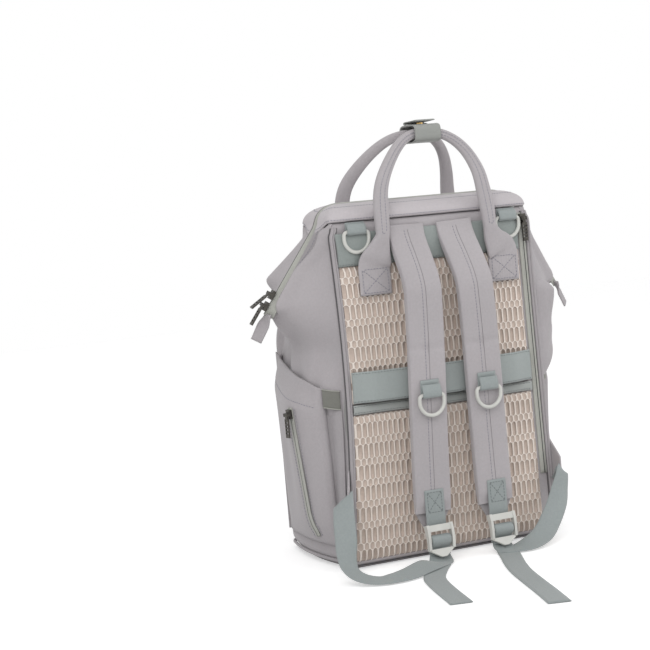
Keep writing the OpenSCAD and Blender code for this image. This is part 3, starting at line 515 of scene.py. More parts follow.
def woven(name, colour, kind="plain", pitch=0.9, roughness=0.85, sheen=0.25, spread=0.05, depth=0.12):
    """Woven cloth: plain, twill or rib weave at its real pitch, with heathered colour."""
    material, tree, principled = shader(name, roughness, [("Sheen Weight", sheen), ("Sheen Roughness", 0.5)])
    uv = add_node(tree, "ShaderNodeUVMap", uv_map="UVMap").outputs["UV"]
    place = add_node(tree, "ShaderNodeTexCoord").outputs["Object"]
    if kind == "twill":
        turned = add_node(
            tree, "ShaderNodeMapping", [("Vector", uv), ("Rotation", (0, 0, np.radians(58)))]
        ).outputs["Vector"]
        weave = maths(tree, "ADD", bands(tree, turned, pitch), bands(tree, uv, pitch * 0.6, "Y"))
    elif kind == "rib":
        weave = maths(tree, "ADD", bands(tree, uv, pitch, "Y"), bands(tree, uv, pitch * 0.7, "X"))
    else:
        weave = maths(tree, "ADD", bands(tree, uv, pitch, "X", 0.6), bands(tree, uv, pitch, "Y", 0.6))
    heather = maths(tree, "ADD", noise(tree, place, 420.0, 3.0), noise(tree, place, 9.0))
    tone = maths(tree, "ADD", maths(tree, "MULTIPLY", heather, 0.42), maths(tree, "MULTIPLY", weave, 0.06))
    varied_colour(tree, principled, tone, shade(colour, 1 - spread), shade(colour, 1 + spread))
    height = maths(tree, "ADD", weave, maths(tree, "MULTIPLY", noise(tree, place, 700.0), 1.2))
    bumped(tree, principled, height, 0.35, depth)
    return material


def moulded(name, colour, roughness=0.42):
    material, tree, principled = shader(name, roughness, [("Specular IOR Level", 0.4)])
    place = add_node(tree, "ShaderNodeTexCoord").outputs["Object"]
    varied_colour(tree, principled, noise(tree, place, 60.0), shade(colour, 0.97), shade(colour, 1.02))
    bumped(tree, principled, noise(tree, place, 900.0, 4.0), 0.15, 0.05)
    return material


def metal(name, dark, light, roughness):
    material, tree, principled = shader(name, roughness, [("Metallic", 1.0)])
    place = add_node(tree, "ShaderNodeTexCoord").outputs["Object"]
    varied_colour(tree, principled, noise(tree, place, 220.0, 4.0), dark, light)
    bumped(tree, principled, noise(tree, place, 1500.0, 3.0), 0.2, 0.04)
    return material


CANVAS_GREY = (0.675, 0.655, 0.665)
RIBBON_GREEN = (0.565, 0.593, 0.592)

canvas = woven("canvas", CANVAS_GREY)
# Rim cloth a tenth lighter than the canvas: painted light, for the top light on the upward-facing rim
rim_canvas_painted_light = woven("rim_canvas_painted_light", shade(CANVAS_GREY, 1.1))
# Strip cloth darker than the canvas: painted shade of the recess beside the zip
strip_canvas_painted_shade = woven("strip_canvas_painted_shade", shade(CANVAS_GREY, 0.88), pitch=0.7)
# Strap seam cord darker than the canvas: painted shade of the strap's seam groove
strap_seam_painted_shade = woven("strap_seam_painted_shade", shade(CANVAS_GREY, 0.84), pitch=0.5)
# Dark cords: painted shadow in the seam grooves beside the back welts
seam_painted_shadow = woven("seam_painted_shadow", shade(CANVAS_GREY, 0.55), pitch=0.5)
canvas_edge = woven("canvas_edge", shade(CANVAS_GREY, 0.96), pitch=0.7)
satin = woven("satin", (0.535, 0.562, 0.553), "twill", 1.0, 0.5, 0.35, 0.06, 0.1)
band_twill = woven("band_twill", (0.595, 0.622, 0.617), "twill", 1.6, 0.6, 0.3, 0.05, 0.2)
webbing_rib = woven("webbing", RIBBON_GREEN, "rib", 1.3, 0.62, 0.3, 0.05, 0.22)
wrap_cloth = woven("wrap_cloth", (0.575, 0.583, 0.568), "twill", 1.1, 0.65, 0.25)
binding_cloth = woven("binding_cloth", (0.63, 0.645, 0.635), "twill", 1.0, 0.7, 0.25)
elastic_rib = woven("elastic", (0.475, 0.475, 0.45), "rib", 1.6, 0.8, 0.2, 0.05, 0.3)
elastic_edge = woven("elastic_edge", (0.63, 0.63, 0.6), "rib", 0.8, 0.8, 0.2)
zip_tape = woven("zip_tape", (0.68, 0.682, 0.655), "rib", 0.8, 0.75, 0.2, 0.05, 0.12)
zip_coil = moulded("zip_coil", (0.33, 0.335, 0.32), 0.5)
mesh_yarn = woven("mesh_yarn", (0.92, 0.88, 0.845), "plain", 0.6, 0.8, 0.3, 0.04, 0.15)
# Darker cell walls: painted shade on the walls' sides inside each cell
mesh_wall_painted_shade = woven("mesh_wall_painted_shade", (0.6, 0.53, 0.485), "plain", 0.6, 0.9, 0.1, 0.05, 0.15)
mesh_floor = woven("mesh_floor", (0.79, 0.725, 0.68), "plain", 1.1, 0.9, 0.1, 0.08, 0.3)
thread = woven("thread", (0.5, 0.5, 0.545), "plain", 0.3, 0.6, 0.3)
green_thread = woven("green_thread", (0.43, 0.455, 0.455), "plain", 0.3, 0.6, 0.3)
pale_plastic = moulded("pale_plastic", (0.8, 0.8, 0.78))
gunmetal = metal("gunmetal", (0.25, 0.24, 0.23), (0.36, 0.35, 0.33), 0.38)
brass = metal("brass", (0.74, 0.62, 0.4), (0.84, 0.72, 0.5), 0.28)
spring_steel = metal("spring_steel", (0.55, 0.55, 0.56), (0.66, 0.66, 0.67), 0.35)
lining_cloth = woven("lining_cloth", (0.6, 0.6, 0.59), "plain", 0.5, 0.8)
board_sheet = moulded("board_sheet", (0.2, 0.2, 0.2), 0.6)


# Body panels


def smooth_rows(points, passes):
    """Rounds the corners of each row of a grid, keeping its two ends."""
    for _ in range(passes):
        inner = (points[:, :-2] + 2 * points[:, 1:-1] + points[:, 2:]) / 4
        points = np.concatenate([points[:, :1], inner, points[:, -1:]], axis=1)
    return points


PANEL_ROWS = run_through([PANEL_FOOT, EDGE_R, SEAM_Z - CLEAR], [8, 130])
EDGE_GAP, EDGE_SHARE = 0.004, 0.06
# The rim stands over the panels with an open shadow gap, and dips round its corners into the slant
RIM_GAP, RIM_DIP = 2.6, 11.0
UNDER_BACK, UNDER_SIDE, UNDER_OVER = 6.0, 4.0, 5.0
RIM_BACK_END, RIM_FRONT_END = 0.37, 0.47


def back_panel():
    z, q = grid_of(PANEL_ROWS, np.linspace(-1 + EDGE_GAP, 1 - EDGE_GAP, 50))
    points = drawn_in(pushed(back_point(z, q), -RIM_GAP * ease((z - SEAM_Z + UNDER_BACK) / UNDER_OVER)))
    sewn("back_panel_cloth", points, canvas, PANEL_T, "back_panel")


FRONT_WAVE, FRONT_WAVE_Z, FRONT_WAVE_H = 2.2, 330, 45
FRONT_FOLDS = {"hollow": (-3, 0, 0.4, 300, 0, 40)}


def front_panel():
    z, q = grid_of(PANEL_ROWS, np.linspace(1 - EDGE_GAP, -1 + EDGE_GAP, 50))
    waves = FRONT_WAVE * np.sin(5 * q + z / 40) * bump(z, FRONT_WAVE_Z, FRONT_WAVE_H)
    points = pushed(front_point(z, q), (waves + folds(FRONT_FOLDS, q, z)) * (1 - q**8))
    sewn("front_panel_cloth", points, canvas, PANEL_T, "front_panel")


# Rolled edge of the side panels beside the zip, and the sunk bed between them
ROLL_H, ROLL_W, BED_H, TAPE_EDGE = 5.5, 20, 2.6, 6.5
BED_LOW, BED_HIGH, BED_FROM_Z, BED_OVER = 9.0, 22.0, HORN_Z + 33, 35
ROLL_FADE, ROLL_LOW_Z, ROLL_TOP_Z = 12, HORN_Z - 14, SEAM_Z - 1
GATHER, GATHER_Z, GATHER_H = 1.6, 225, 38
WAIST_IN, WAIST_IN_Z, WAIST_IN_H = 10, 268, 32
SIDE_FOLDS = {
    "dent over the pocket": (-2, 0.5, 0.14, 262, -30, 14),
    "crease": (3.2, 0.44, 0.05, 276, 60, 9),
    "full cheek": (3, 0.5, 0.1, 280, 0, 26),
    "droop under the zip": (2.5, 0.25, 0.16, 285, 0, 40),
}
HUG_SHARE, HUG_DROP, HUG_H = 0.8, 6, 30
# The right side stands out near its back edge, most at the waist, and is drawn in under the rim's corner
FULL_RIGHT, FULL_WAIST, FULL_S, FULL_WIDTH = 19, 8.0, 0.14, 0.12
FULL_FROM_Z, FULL_OVER, FULL_TO_Z, FULL_END = 176, 52, 298, 16
WAIST_Z, WAIST_H = 252, 20
CORNER_PULL, CORNER_FROM, CORNER_OVER = 4.0, 20, 16


def rim_low(s):
    """Height of the rim's lower edge round its corner; s counts from the seam to the zip."""
    return SEAM_Z - RIM_DIP * ease((s - 0.03) / 0.36)


def slant_width(z):
    return np.hypot(apex_x(z) - back_hw(z), apex_y(z) - back_y(z))


def zip_bed(z):
    """Distance from the zip to the rolled edge of the side panel, down the slant."""
    return mix(BED_LOW, BED_HIGH, ease((z - BED_FROM_Z) / BED_OVER))


def pocket_hug(z, s):
    """The side lies against the mouth of its pocket."""
    q = clamp01((s - POCKET_BACK) / (1 - 2 * POCKET_BACK))
    return HUG_SHARE * POCKET_BULGE * pocket_swell(q) * mouth_share(q) * bump(z, mouth_z(q) - HUG_DROP, HUG_H)


def zip_edge(z, s):
    """Rolled edge of the panel beside the zip, and the bed that the zip lies in."""
    past_edge = (0.5 - s) * 2 * slant_width(z) - zip_bed(z)
    roll = ROLL_H * ease((past_edge + 1.5) / 2.5) * (1 - ease((past_edge - 1) / ROLL_W))
    bed = -BED_H * (1 - ease((past_edge + 2) / 2)) * ease((0.5 - s) / 0.03)
    return (roll + bed) * ease((z - ROLL_LOW_Z) / ROLL_FADE) * ease((ROLL_TOP_Z - z) / ROLL_FADE)


def side_slack(z, s):
    """Soft folds of a side panel: gathers, a drawn-in waist, edges at pocket and zip, and the rim's gap."""
    gathers = GATHER * np.sin(26 * s + 1.2) * bump(z, GATHER_Z, GATHER_H) * ease((0.9 - s) / 0.3)
    waist = -WAIST_IN * ease((s - 0.5) / 0.2) * bump(z, WAIST_IN_Z, WAIST_IN_H)
    soft = gathers + waist + folds(SIDE_FOLDS, s, z) + pocket_hug(z, s) + zip_edge(z, s)
    under_rim = -RIM_GAP * ease((z - rim_low(np.minimum(s, 1 - s)) + UNDER_SIDE) / UNDER_OVER)
    return soft * ease(s / EDGE_SHARE) * ease((1 - s) / EDGE_SHARE) + under_rim


def right_fill(z, s):
    """How much fuller the right side is than the solid."""
    rise = ease((z - FULL_FROM_Z) / FULL_OVER) * (1 - ease((z - FULL_TO_Z) / FULL_END)) * ease(s / EDGE_SHARE)
    full = (FULL_RIGHT + FULL_WAIST * bump(z, WAIST_Z, WAIST_H)) * bump(s, FULL_S, FULL_WIDTH)
    corner = CORNER_PULL * bump(s, 0, FULL_WIDTH) * ease((z - SEAM_Z + CORNER_FROM) / CORNER_OVER)
    return full * rise - corner


def side_panel(side, flip):
    z, s = grid_of(PANEL_ROWS, run_through([EDGE_GAP, 0.2, 0.5, 1 - EDGE_GAP], [18, 70, 60]))
    slack = side_slack(z, s)
    if flip > 0:
        slack = slack + right_fill(z, s)
    points = sided(pushed(side_point(z, s), slack), flip)
    sewn(side + "_side_panel_cloth", points, canvas, PANEL_T, side + "_side_panel")


STRIP_T, STRIP_STITCH = 1.4, 6


def slant_strip(side, flip):
    """Strip of the rim that runs down beside the zip, between its tape and the rolled edge of the panel, in
    darker cloth that paints the shade of its recess.
    """
    z, t = grid_of(np.linspace(HORN_Z + 8, SEAM_Z - 5, 60), np.linspace(0, 1, 14))
    off_zip = mix(zip_bed(z) + 1.5, TAPE_EDGE, t)
    points = pushed(side_point(z, 0.5 - off_zip / (2 * slant_width(z))), 0.2 + 0.8 * np.sin(np.pi * t))
    points = sided(points, flip)
    sewn(side + "_slant_strip", points, strip_canvas_painted_shade, STRIP_T)
    middle = grid_normals(points)[:, STRIP_STITCH]
    sewing(side + "_slant_stitches", [(points[:, STRIP_STITCH], middle)], thread)


def section_loop(z, grow, count=30):
    """Outline of the bag at one height, grown outwards."""
    q = np.linspace(-1, 1, count)[:-1]
    s = np.linspace(0, 1, count)[:-1]
    z = np.full(count - 1, float(z))
    runs = [back_point(z, q), side_point(z, s), front_point(z, -q), mirrored(side_point(z, 1 - s))]
    loop = np.vstack(runs)
    along = unit(np.roll(loop, -1, 0) - np.roll(loop, 1, 0))
    return loop + stacked(along[:, 1], -along[:, 0], 0) * grow


def base_panel():
    loops = [section_loop(PANEL_FOOT, -4) - [0, 0, 0.4], section_loop(PANEL_FOOT, -0.4) - [0, 0, 1]]
    for grow, z in [(-0.2, 1.2), (-0.8, 0.5), (-2.0, 0.1), (-4.0, 0.0)]:
        loops.append(section_loop(PANEL_FOOT, grow) * [1, 1, 0] + [0, 0, z])
    placed(tube("base_cloth", np.stack(loops[::-1]), [canvas_edge]), "bag", "grey_canvas", "base_panel")


RIM_PUFF, RIM_OUT, RIM_EDGE_IN, RIM_T = 1.6, 0.5, 1.2, 2.6
RIM_ROWS, RIM_TOP, RIM_SMOOTH = 18, 0.985, 12
RIM_STITCHES = (2, 13)


def rim_grid(front):
    """Half of the rim as puffed rows from its lower edge up to the zip, round both corners."""
    v = np.linspace(0.0, RIM_TOP, RIM_ROWS)
    s = np.linspace(RIM_FRONT_END if front else RIM_BACK_END, 0.01, 30)
    q = np.linspace(-1, 1, 70)
    rows = []
    for share in v:
        zs = mix(rim_low(s), TOP_Z, share)
        zq = np.full(q.shape, mix(SEAM_Z, TOP_Z, share))
        if front:
            row = [side_point(zs, 1 - s), front_point(zq, -q), mirrored(side_point(zs, 1 - s))[::-1]]
        else:
            row = [mirrored(side_point(zs, s)), back_point(zq, q), side_point(zs, s)[::-1]]
        rows.append(np.vstack(row))
    points = smooth_rows(np.stack(rows), RIM_SMOOTH)
    puff = RIM_OUT + RIM_PUFF * np.sin(np.pi * mix(0.12, 1, v)) - RIM_EDGE_IN * bump(v, 0, 0.04)
    return pushed(points, puff[:, None])


def rim(front):
    name = "rim_front" if front else "rim_back"
    points = rim_grid(front)
    sewn(name + "_cloth", points, rim_canvas_painted_light, RIM_T, name)
    normals = grid_normals(points)
    sewing(name + "_stitches", [(points[i], normals[i]) for i in RIM_STITCHES], thread)


# Zips

# Half a zip's outline from its middle outwards: share of the half width, and height
ZIP_HALF = [(0.0, 0.35), (0.12, 1.45), (0.24, 1.5), (0.3, 0.95), (0.62, 0.9), (1.0, 0.75)]
ZIP_UNDER = -0.3
# The groove between the tape halves takes the second material
ZIP_SLOTS = [0] * 4 + [1] * 2 + [0] * 16


def zip_outline(w, droop=0.0):
    """Two tape halves, drooping outwards by an angle, with a dark groove between them."""
    half = np.array(ZIP_HALF) * [w / 2, 1]
    top = np.vstack([half[::-1], half[1:] * [-1, 1]])
    under = np.stack([top[::-1, 0], np.full(len(top), ZIP_UNDER)], -1)
    outline = np.vstack([top, under])
    outline[:, 1] -= np.abs(outline[:, 0]) * np.tan(droop)
    return outline


def zip_piece(name, path, normals, w, node, droops=None):
    profiles = zip_outline(w) if droops is None else np.stack([zip_outline(w, d) for d in droops])
    obj = tube(name, sweep_points(path, normals, profiles), [zip_tape, zip_coil], face_slots=ZIP_SLOTS)
    placed(obj, "bag", "zip_tape", node)


def zip_stitches(name, path, normal, off, sink):
    """A row of stitches along both sides of a zip."""
    _, across, _ = path_frame(path, normal)
    rows = [(path + across * step - np.multiply(normal, sink), normal) for step in (-off, off)]
    sewing(name, rows, thread)


ZIP_LIFT, ZIP_TAIL, ZIP_W, TOP_DROOP = 0.5, 12.0, 16.0, 0.35


def slant_point(z, side):
    return stacked(side * (apex_x(z) + ZIP_LIFT), apex_y(z), z)


SLANT_ENDS = slant_point(np.array([HORN_Z, SEAM_Z]), -1)
SLANT_WAY = unit(SLANT_ENDS[1] - SLANT_ENDS[0])
SLANT_OUT = (-1, 0, 0.4)
ZIP_LOW_END = SLANT_ENDS[0] - ZIP_TAIL * SLANT_WAY


def main_zip_half():
    """Left half of the main zip, from its low end up over the corner, as points, normals and droops."""
    z = np.linspace(HORN_Z, SEAM_Z - 4, 24)
    slant = np.vstack([ZIP_LOW_END, slant_point(z, -1)])
    a = np.radians(np.linspace(20, 80, 14))
    corner_x = -(mix(RIDGE_HW, FRAME_X, np.cos(a)) + ZIP_LIFT)
    corner = stacked(corner_x, RIDGE_Y, SEAM_Z + (RIM_H + ZIP_LIFT) * np.sin(a))
    slant_out = np.tile(SLANT_OUT, (len(slant), 1))
    corner_out = stacked(-np.cos(a), 0, np.sin(a))
    droops = np.concatenate([np.linspace(0.86, 0.8, len(slant)), np.linspace(0.75, 0.4, len(corner))])
    return np.vstack([slant, corner]), np.vstack([slant_out, corner_out]), droops


def main_zip():
    points, normals, droops = main_zip_half()
    x = np.linspace(-RIDGE_HW + 4, RIDGE_HW - 4, 40)
    top = stacked(x, RIDGE_Y, TOP_Z + ZIP_LIFT)
    path = np.vstack([points, top, mirrored(points)[::-1]])
    outs = np.vstack([normals, np.tile(UP, (len(x), 1)), mirrored(normals)[::-1]])
    all_droops = np.concatenate([droops, np.full(len(x), TOP_DROOP), droops[::-1]])
    zip_piece("main_zip_tape", path, outs, ZIP_W, "main_zip", all_droops)


# Tabs at the ends of the main zip: length, sag, width, step aside, thickness, and what the root adds to it
TAB_L, TAB_SAG, TAB_W, TAB_ASIDE, TAB_T, TAB_ROOT = 30.0, 5.0, 16.0, 6.0, 2.2, 1.4
TAB_OUT = (-0.7, -0.7, 0.15)


def zip_end_tabs():
    t = np.linspace(0, 1, 14)
    path = ZIP_LOW_END - (CLEAR + TAB_L * t[:, None]) * SLANT_WAY - stacked(0, 0, TAB_SAG * t)
    path = path + TAB_ASIDE * unit([1, -1, 0])
    normals = mix(np.array(SLANT_OUT), np.array(TAB_OUT), ease(t / 0.5)[:, None])
    shapes = [ribbon_outline(TAB_W * (1 - 0.12 * k), TAB_T + TAB_ROOT * bump(k, 0.0, 0.3)) for k in t]
    loops = sweep_points(path, normals, np.stack(shapes))
    placed(tube("left_zip_end_tab", loops, [canvas_edge]), "bag", "grey_canvas", "zip_end_tabs")
    placed(tube("right_zip_end_tab", mirrored(loops)[:, ::-1], [canvas_edge]), "bag", "grey_canvas")


BACK_ZIP_IN, BACK_ZIP_W, BACK_ZIP_LOW, BACK_ZIP_HIGH = 7.5, 11.0, 76.0, SEAM_Z - 8


def back_zip():
    z = np.linspace(BACK_ZIP_LOW, BACK_ZIP_HIGH, 60)
    path = stacked(back_hw(z) - BACK_ZIP_IN, back_y(z) - CLEAR, z)
    zip_piece("back_zip_tape", path, TO_STRAPS, BACK_ZIP_W, "back_zip")


# Hardware: CAD shapes with softened edges


def softened(node, material, slot, body, width=0.35, angle=30):
    """Copy of a rigid CAD node with rounded edges and a finish of its own."""
    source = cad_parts[node]
    obj = bpy.data.objects.new(node + "_finished", source.data.copy())
    bpy.context.scene.collection.objects.link(obj)
    obj.data.materials.clear()
    obj.data.materials.append(material)
    merge_close(obj)
    work = bmesh.new()
    work.from_mesh(obj.data)
    bmesh.ops.dissolve_limit(work, angle_limit=np.radians(2), verts=work.verts, edges=work.edges)
    work.to_mesh(obj.data)
    work.free()
    obj.data.polygons.foreach_set("use_smooth", [True] * len(obj.data.polygons))
    add_modifier(
        obj, "BEVEL", width=width * MM, segments=2, limit_method="ANGLE", angle_limit=np.radians(angle)
    )
    add_modifier(obj, "WEIGHTED_NORMAL", keep_sharp=True)
    placed(obj, body, slot, node)


def hardware():
    riders = {
        "main_slider_low": "bag",
        "main_pull_low": "end_pull",
        "main_slider_high": "main_slider",
        "main_pull_high": "main_pull",
    }
    for where in ("back", "pocket", "front"):
        for piece in ("slider", "pull"):
            riders[f"{where}_{piece}"] = f"{where}_{piece}"
    for node, body in riders.items():
        softened(node, gunmetal, "dark_metal", body)
    for side in ("left", "right"):
        softened(side + "_lock", pale_plastic, "pale_plastic", side + "_lock", 0.55)
    softened("snap_stud", brass, "brass", "bag")


# Back: air mesh, satin band, trolley band and binding

MESH_LEFT, MESH_RIGHT_GAP, MESH_T = -HALF_W + 3, 16.0, 5.0
BAND_Z, BAND_H, BAND_GAP = 190.0, 38.0, 7.0
TOP_BAND_Z, TOP_BAND_H = SEAM_Z - 51, 38.0
BINDING_H = 11.0
CELL_PITCH, LONG_CELL, SHORT_CELL, CELL_POINT = 7.3, 16.6, 7.7, 1.3
SHORT_DEPTH = 0.5
MESH_FOOT, MESH_EDGE, MESH_EDGE_SHARE = 6.0, 7, 0.25


def span_x(z):
    return MESH_LEFT + TOP_TAPER * z / SEAM_Z, back_hw(z) - MESH_RIGHT_GAP


def cell_outline(x, low, high):
    """Long six-sided cell with pointed ends, as fourteen points that its neighbours share."""
    half = CELL_PITCH / 2
    corners = [
        (x, low - CELL_POINT),
        (x + half, low + CELL_POINT),
        (x + half, high - CELL_POINT),
        (x, high + CELL_POINT),
        (x - half, high - CELL_POINT),
        (x - half, low + CELL_POINT),
    ]
    points = []
    for k, (a, b) in enumerate(zip(corners, corners[1:] + corners[:1])):
        parts = 3 if k % 3 == 1 else 2
        points += [mix(np.array(a), np.array(b), t / parts) for t in range(parts)]
    return np.array(points)


# Rings of a cell from its rim inwards: inset, depth and how far the ring is rounded off
CELL_RINGS = [(0.0, 0.0, 0.0), (0.7, 0.02, 0.9), (1.0, 0.3, 1.0), (1.15, 1.0, 1.0), (1.45, 1.7, 1.0)]
# Material of each step between rings, and of the floor: yarn, wall (darker, painted shade inside the cell) or
# floor
MESH_SLOTS = (0, 0, 1, 2, 2)


def rounded(outline, half):
    """Outline moved onto an upright slot with round ends."""
    radius, straight = half[0], max(half[1] - half[0], 0.0)
    core = np.stack([0 * outline[:, 0], np.clip(outline[:, 1], -straight, straight)], -1)
    return core + unit(outline - core) * radius


def mesh_cells(z0, z1):
    """Cells over the mesh's height, as rings of (x, z, depth)."""
    cells = []
    low, row = z0 - SHORT_CELL, 0
    while low < z1:
        high = low + (LONG_CELL if row % 2 else SHORT_CELL)
        shift = CELL_PITCH / 2 * (row % 2)
        for x in np.arange(-HALF_W, HALF_W, CELL_PITCH) + shift:
            middle = np.array([x, (low + high) / 2])
            outline = cell_outline(x, low, high) - middle
            half = np.array([CELL_PITCH / 2, (high - low) / 2 + CELL_POINT])
            rings = []
            for inset, depth, round_off in CELL_RINGS:
                ring = mix(outline * (1 - inset / half), rounded(outline, half - inset), round_off)
                deep = depth * (1 if row % 2 else SHORT_DEPTH)
                rings.append(np.column_stack([middle + ring, np.full(len(ring), deep)]))
            cells.append(rings)
        low, row = high, row + 1
    return np.array(cells)


def mesh_pad(name, z0, z1, node):
    cells = mesh_cells(z0, z1)
    x, z, depth = cells[..., 0], cells[..., 1], cells[..., 2]
    left, right = span_x(np.clip(z, z0, z1))
    keep = ((x.max((1, 2)) > left.min((1, 2))) & (x.min((1, 2)) < right.max((1, 2)))) & (
        (z.max((1, 2)) > z0) & (z.min((1, 2)) < z1)
    )
    x, z, depth, left, right = (part[keep] for part in (x, z, depth, left, right))
    x = np.clip(x, left, right)
    z = np.clip(z, z0, z1)
    border = np.minimum(np.minimum(x - left, right - x), np.minimum(z - z0, z1 - z))
    fall = ease(border / MESH_EDGE + MESH_EDGE_SHARE)
    points = drawn_in(back_x(x, z, CLEAR + (MESH_T - depth) * fall))
    count, rings, around = points.shape[:3]
    faces, slots = [], []
    for c in range(count):
        base = c * rings * around
        for face in grid_faces(rings, around, closed=True):
            faces.append(tuple(base + i for i in face))
            slots.append(MESH_SLOTS[face[0] // around])
        faces.append(tuple(range(base + (rings - 1) * around, base + rings * around)))
        slots.append(MESH_SLOTS[-1])
    flat = np.stack([x, z], -1).reshape(-1, 2) * MM
    obj = new_object(name, points, faces, [mesh_yarn, mesh_wall_painted_shade, mesh_floor], flat, slots)
    merge_close(obj, 0.02)
    placed(obj, "bag", "air_mesh", node)


ACROSS = np.linspace(0, 1, 90)


def back_layer(name, z0, z1, out, puff, material, node, thickness=1.6):
    """Cloth strip across the mesh between two heights; out is one number, or one for each place across."""
    z, u = grid_of(np.linspace(z0, z1, 18), ACROSS)
    left, right = span_x(z)
    swell = puff * np.sin(np.pi * (z - z0) / (z1 - z0)) ** 0.6
    points = drawn_in(back_x(mix(left, right, u), z, out + thickness + swell))
    placed(cloth(name, points, material, thickness), "bag", "ribbon", node)
    return points


def edge_stitches(name, points, rows, material):
    normals = grid_normals(points)
    sewing(name, [(points[i], normals[i]) for i in rows], material, slot="ribbon")


SATIN_OUT, BINDING_SINK, BAND_SINK, BAND_RISE, BAND_T = 1.5, 2.4, 0.7, 0.12, 2.0


def back_bands():
    high = TOP_BAND_Z + TOP_BAND_H
    points = back_layer("satin_band", TOP_BAND_Z, high, CLEAR + SATIN_OUT, 1.2, satin, "top_band")
    edge_stitches("satin_stitches", points, (1,), green_thread)
    lift = mix(MESH_T - BAND_SINK, MESH_T + BAND_GAP, ease(np.minimum(ACROSS, 1 - ACROSS) / BAND_RISE))
    low, high = BAND_Z + 2, BAND_Z + BAND_H
    points = back_layer("trolley_band", low, high, lift, 0.8, band_twill, "luggage_band", BAND_T)
    edge_stitches("trolley_stitches", points, (1, 16), green_thread)
    low, out = BAND_Z - BINDING_H, CLEAR + MESH_T - BINDING_SINK
    points = back_layer("binding_strip", low, BAND_Z, out, 1.2, binding_cloth, "mesh_binding")
    edge_stitches("binding_stitches", points, (3, 14), green_thread)


# Piping

CORD_SIDES = 12
# Normal of an open cord, which no cord here runs along
CORD_OUT = (0.05, -1, 0.1)


def cord_tube(name, path, radius, material, ring=False, normal=CORD_OUT):
    """Round cord along a path; a ring closes on itself."""
    a = 2 * np.pi * np.arange(CORD_SIDES) / CORD_SIDES
    profile = np.stack([np.cos(a), np.sin(a)], -1) * radius
    if not ring:
        return tube(name, sweep_points(path, normal, profile), [material])
    wrapped = np.vstack([path[-1:], path, path[:1]])
    return tube(name, sweep_points(wrapped, normal, profile)[1:-1], [material], ring=True)


# Cords along a corner of the back: step sideways and outwards, radius and material
WELTS = {"piping_outer": (1.6, -1.6, 1.9, canvas_edge), "piping_inner": (-1.6, -1.3, 1.5, canvas_edge)}
# Dark cords to both sides of the welts, painted shadow of the seam grooves
GROOVE_SHADOWS = {"outer_groove_shadow": (3.6, 0.6, 0.95, seam_painted_shadow), "inner_groove_shadow": (-3.7, -0.5, 0.95, seam_painted_shadow)}
WELT_LOW, WELT_TOP, FRONT_WELT_TOP = EDGE_R + 6, SEAM_Z - 6, SEAM_Z - 78
# How far the welts lie in: the back ones under the rim, the front ones over the pockets
BACK_TUCK, BACK_TUCK_Z, BACK_TUCK_H = 4.0, SEAM_Z - 18, 12
FRONT_TUCK, FRONT_TUCK_Z, FRONT_TUCK_H = 4.5, 212, 22
BASE_CORD_Z, BASE_CORD_OUT, BASE_CORD_R = 8.0, 3.0, 1.9


def corner_cords(end, corner, cords, turn):
    """Cords along the right corner of the back or front, and the same on the left."""
    for side, flip in (("right", 1), ("left", -1)):
        for cord, (dx, dy, radius, material) in cords.items():
            path = drawn_in((corner + [dx, turn * dy, 0]) * [flip, 1, 1])
            nodes = [end + "_pipings"] if (side, cord) == ("right", "piping_outer") else []
            obj = cord_tube(f"{side}_{end}_{cord}", path, radius, material)
            placed(obj, "bag", "grey_canvas", *nodes)


def pipings():
    z = np.linspace(WELT_LOW, WELT_TOP, 80)
    tucked = stacked(BACK_TUCK * ease((z - BACK_TUCK_Z) / BACK_TUCK_H), 0, 0)
    corner_cords("back", back_point(z, 1.0) - tucked, WELTS | GROOVE_SHADOWS, 1)
    z = np.linspace(WELT_LOW, FRONT_WELT_TOP, 70)
    tucked = stacked(FRONT_TUCK * ease((z - FRONT_TUCK_Z) / FRONT_TUCK_H), 0, 0)
    corner_cords("front", front_point(z, 1.0) - tucked, WELTS, -1)
    loop = section_loop(BASE_CORD_Z, BASE_CORD_OUT, 48)
    obj = cord_tube("base_piping_cord", loop, BASE_CORD_R, canvas_edge, ring=True, normal=UP)
    placed(obj, "bag", "grey_canvas", "base_piping")


# Side pockets

POCKET_FOOT, POCKET_T, POCKET_BACK = EDGE_R + 8, 2.4, 0.05
POCKET_BULGE, POCKET_FRONT = 30.0, 0.5
MOUTH_Z, MOUTH_RISE = 214.0, 32.0
PLEAT_Q = 0.065
MOUTH_HUG, REAR_DIP = 0.62, 6.0
PLEAT_OVER, ELASTIC_OVER, PLEAT_IN, PLEAT_CURL = 0.04, 0.012, 6.5, 5.0
HEM_V, HEM_GROOVE, HEM_EDGE, HEM_ROLL, BUCKLE = 0.865, 0.9, 0.985, 1.1, 1.3
PANEL_CLOTH_T, GUSSET_T = 2.6, 1.6
GUSSET_SHARE = {"rear": 0.62, "front": 0.4}
# Elastics at the pocket's ends: height, edge cord, and for each end the step out and how far it is drawn in
ELASTIC_H, ELASTIC_EDGE_R = 21.0, 0.7
ELASTICS = {"rear": (POCKET_T + 1.2, 0.84), "front": (0.8, 0.1)}


def mouth_z(q):
    return MOUTH_Z + MOUTH_RISE * q - REAR_DIP * (1 - ease(q / 0.25))


def pocket_swell(q):
    return (1 - (2 * q - 1) ** 4) * mix(1, POCKET_FRONT, ease((q - 0.3) / 0.5))


def mouth_share(q):
    """How far the mouth stands off the body, as a share of the pocket's bulge: the front end hugs it."""
    return mix(1, MOUTH_HUG * (1 - q) ** 1.3, ease((q - 0.05) / 0.12))


def pocket_fill(v):
    return (0.3 + 0.7 * v) * np.sqrt(clamp01(v / 0.12))


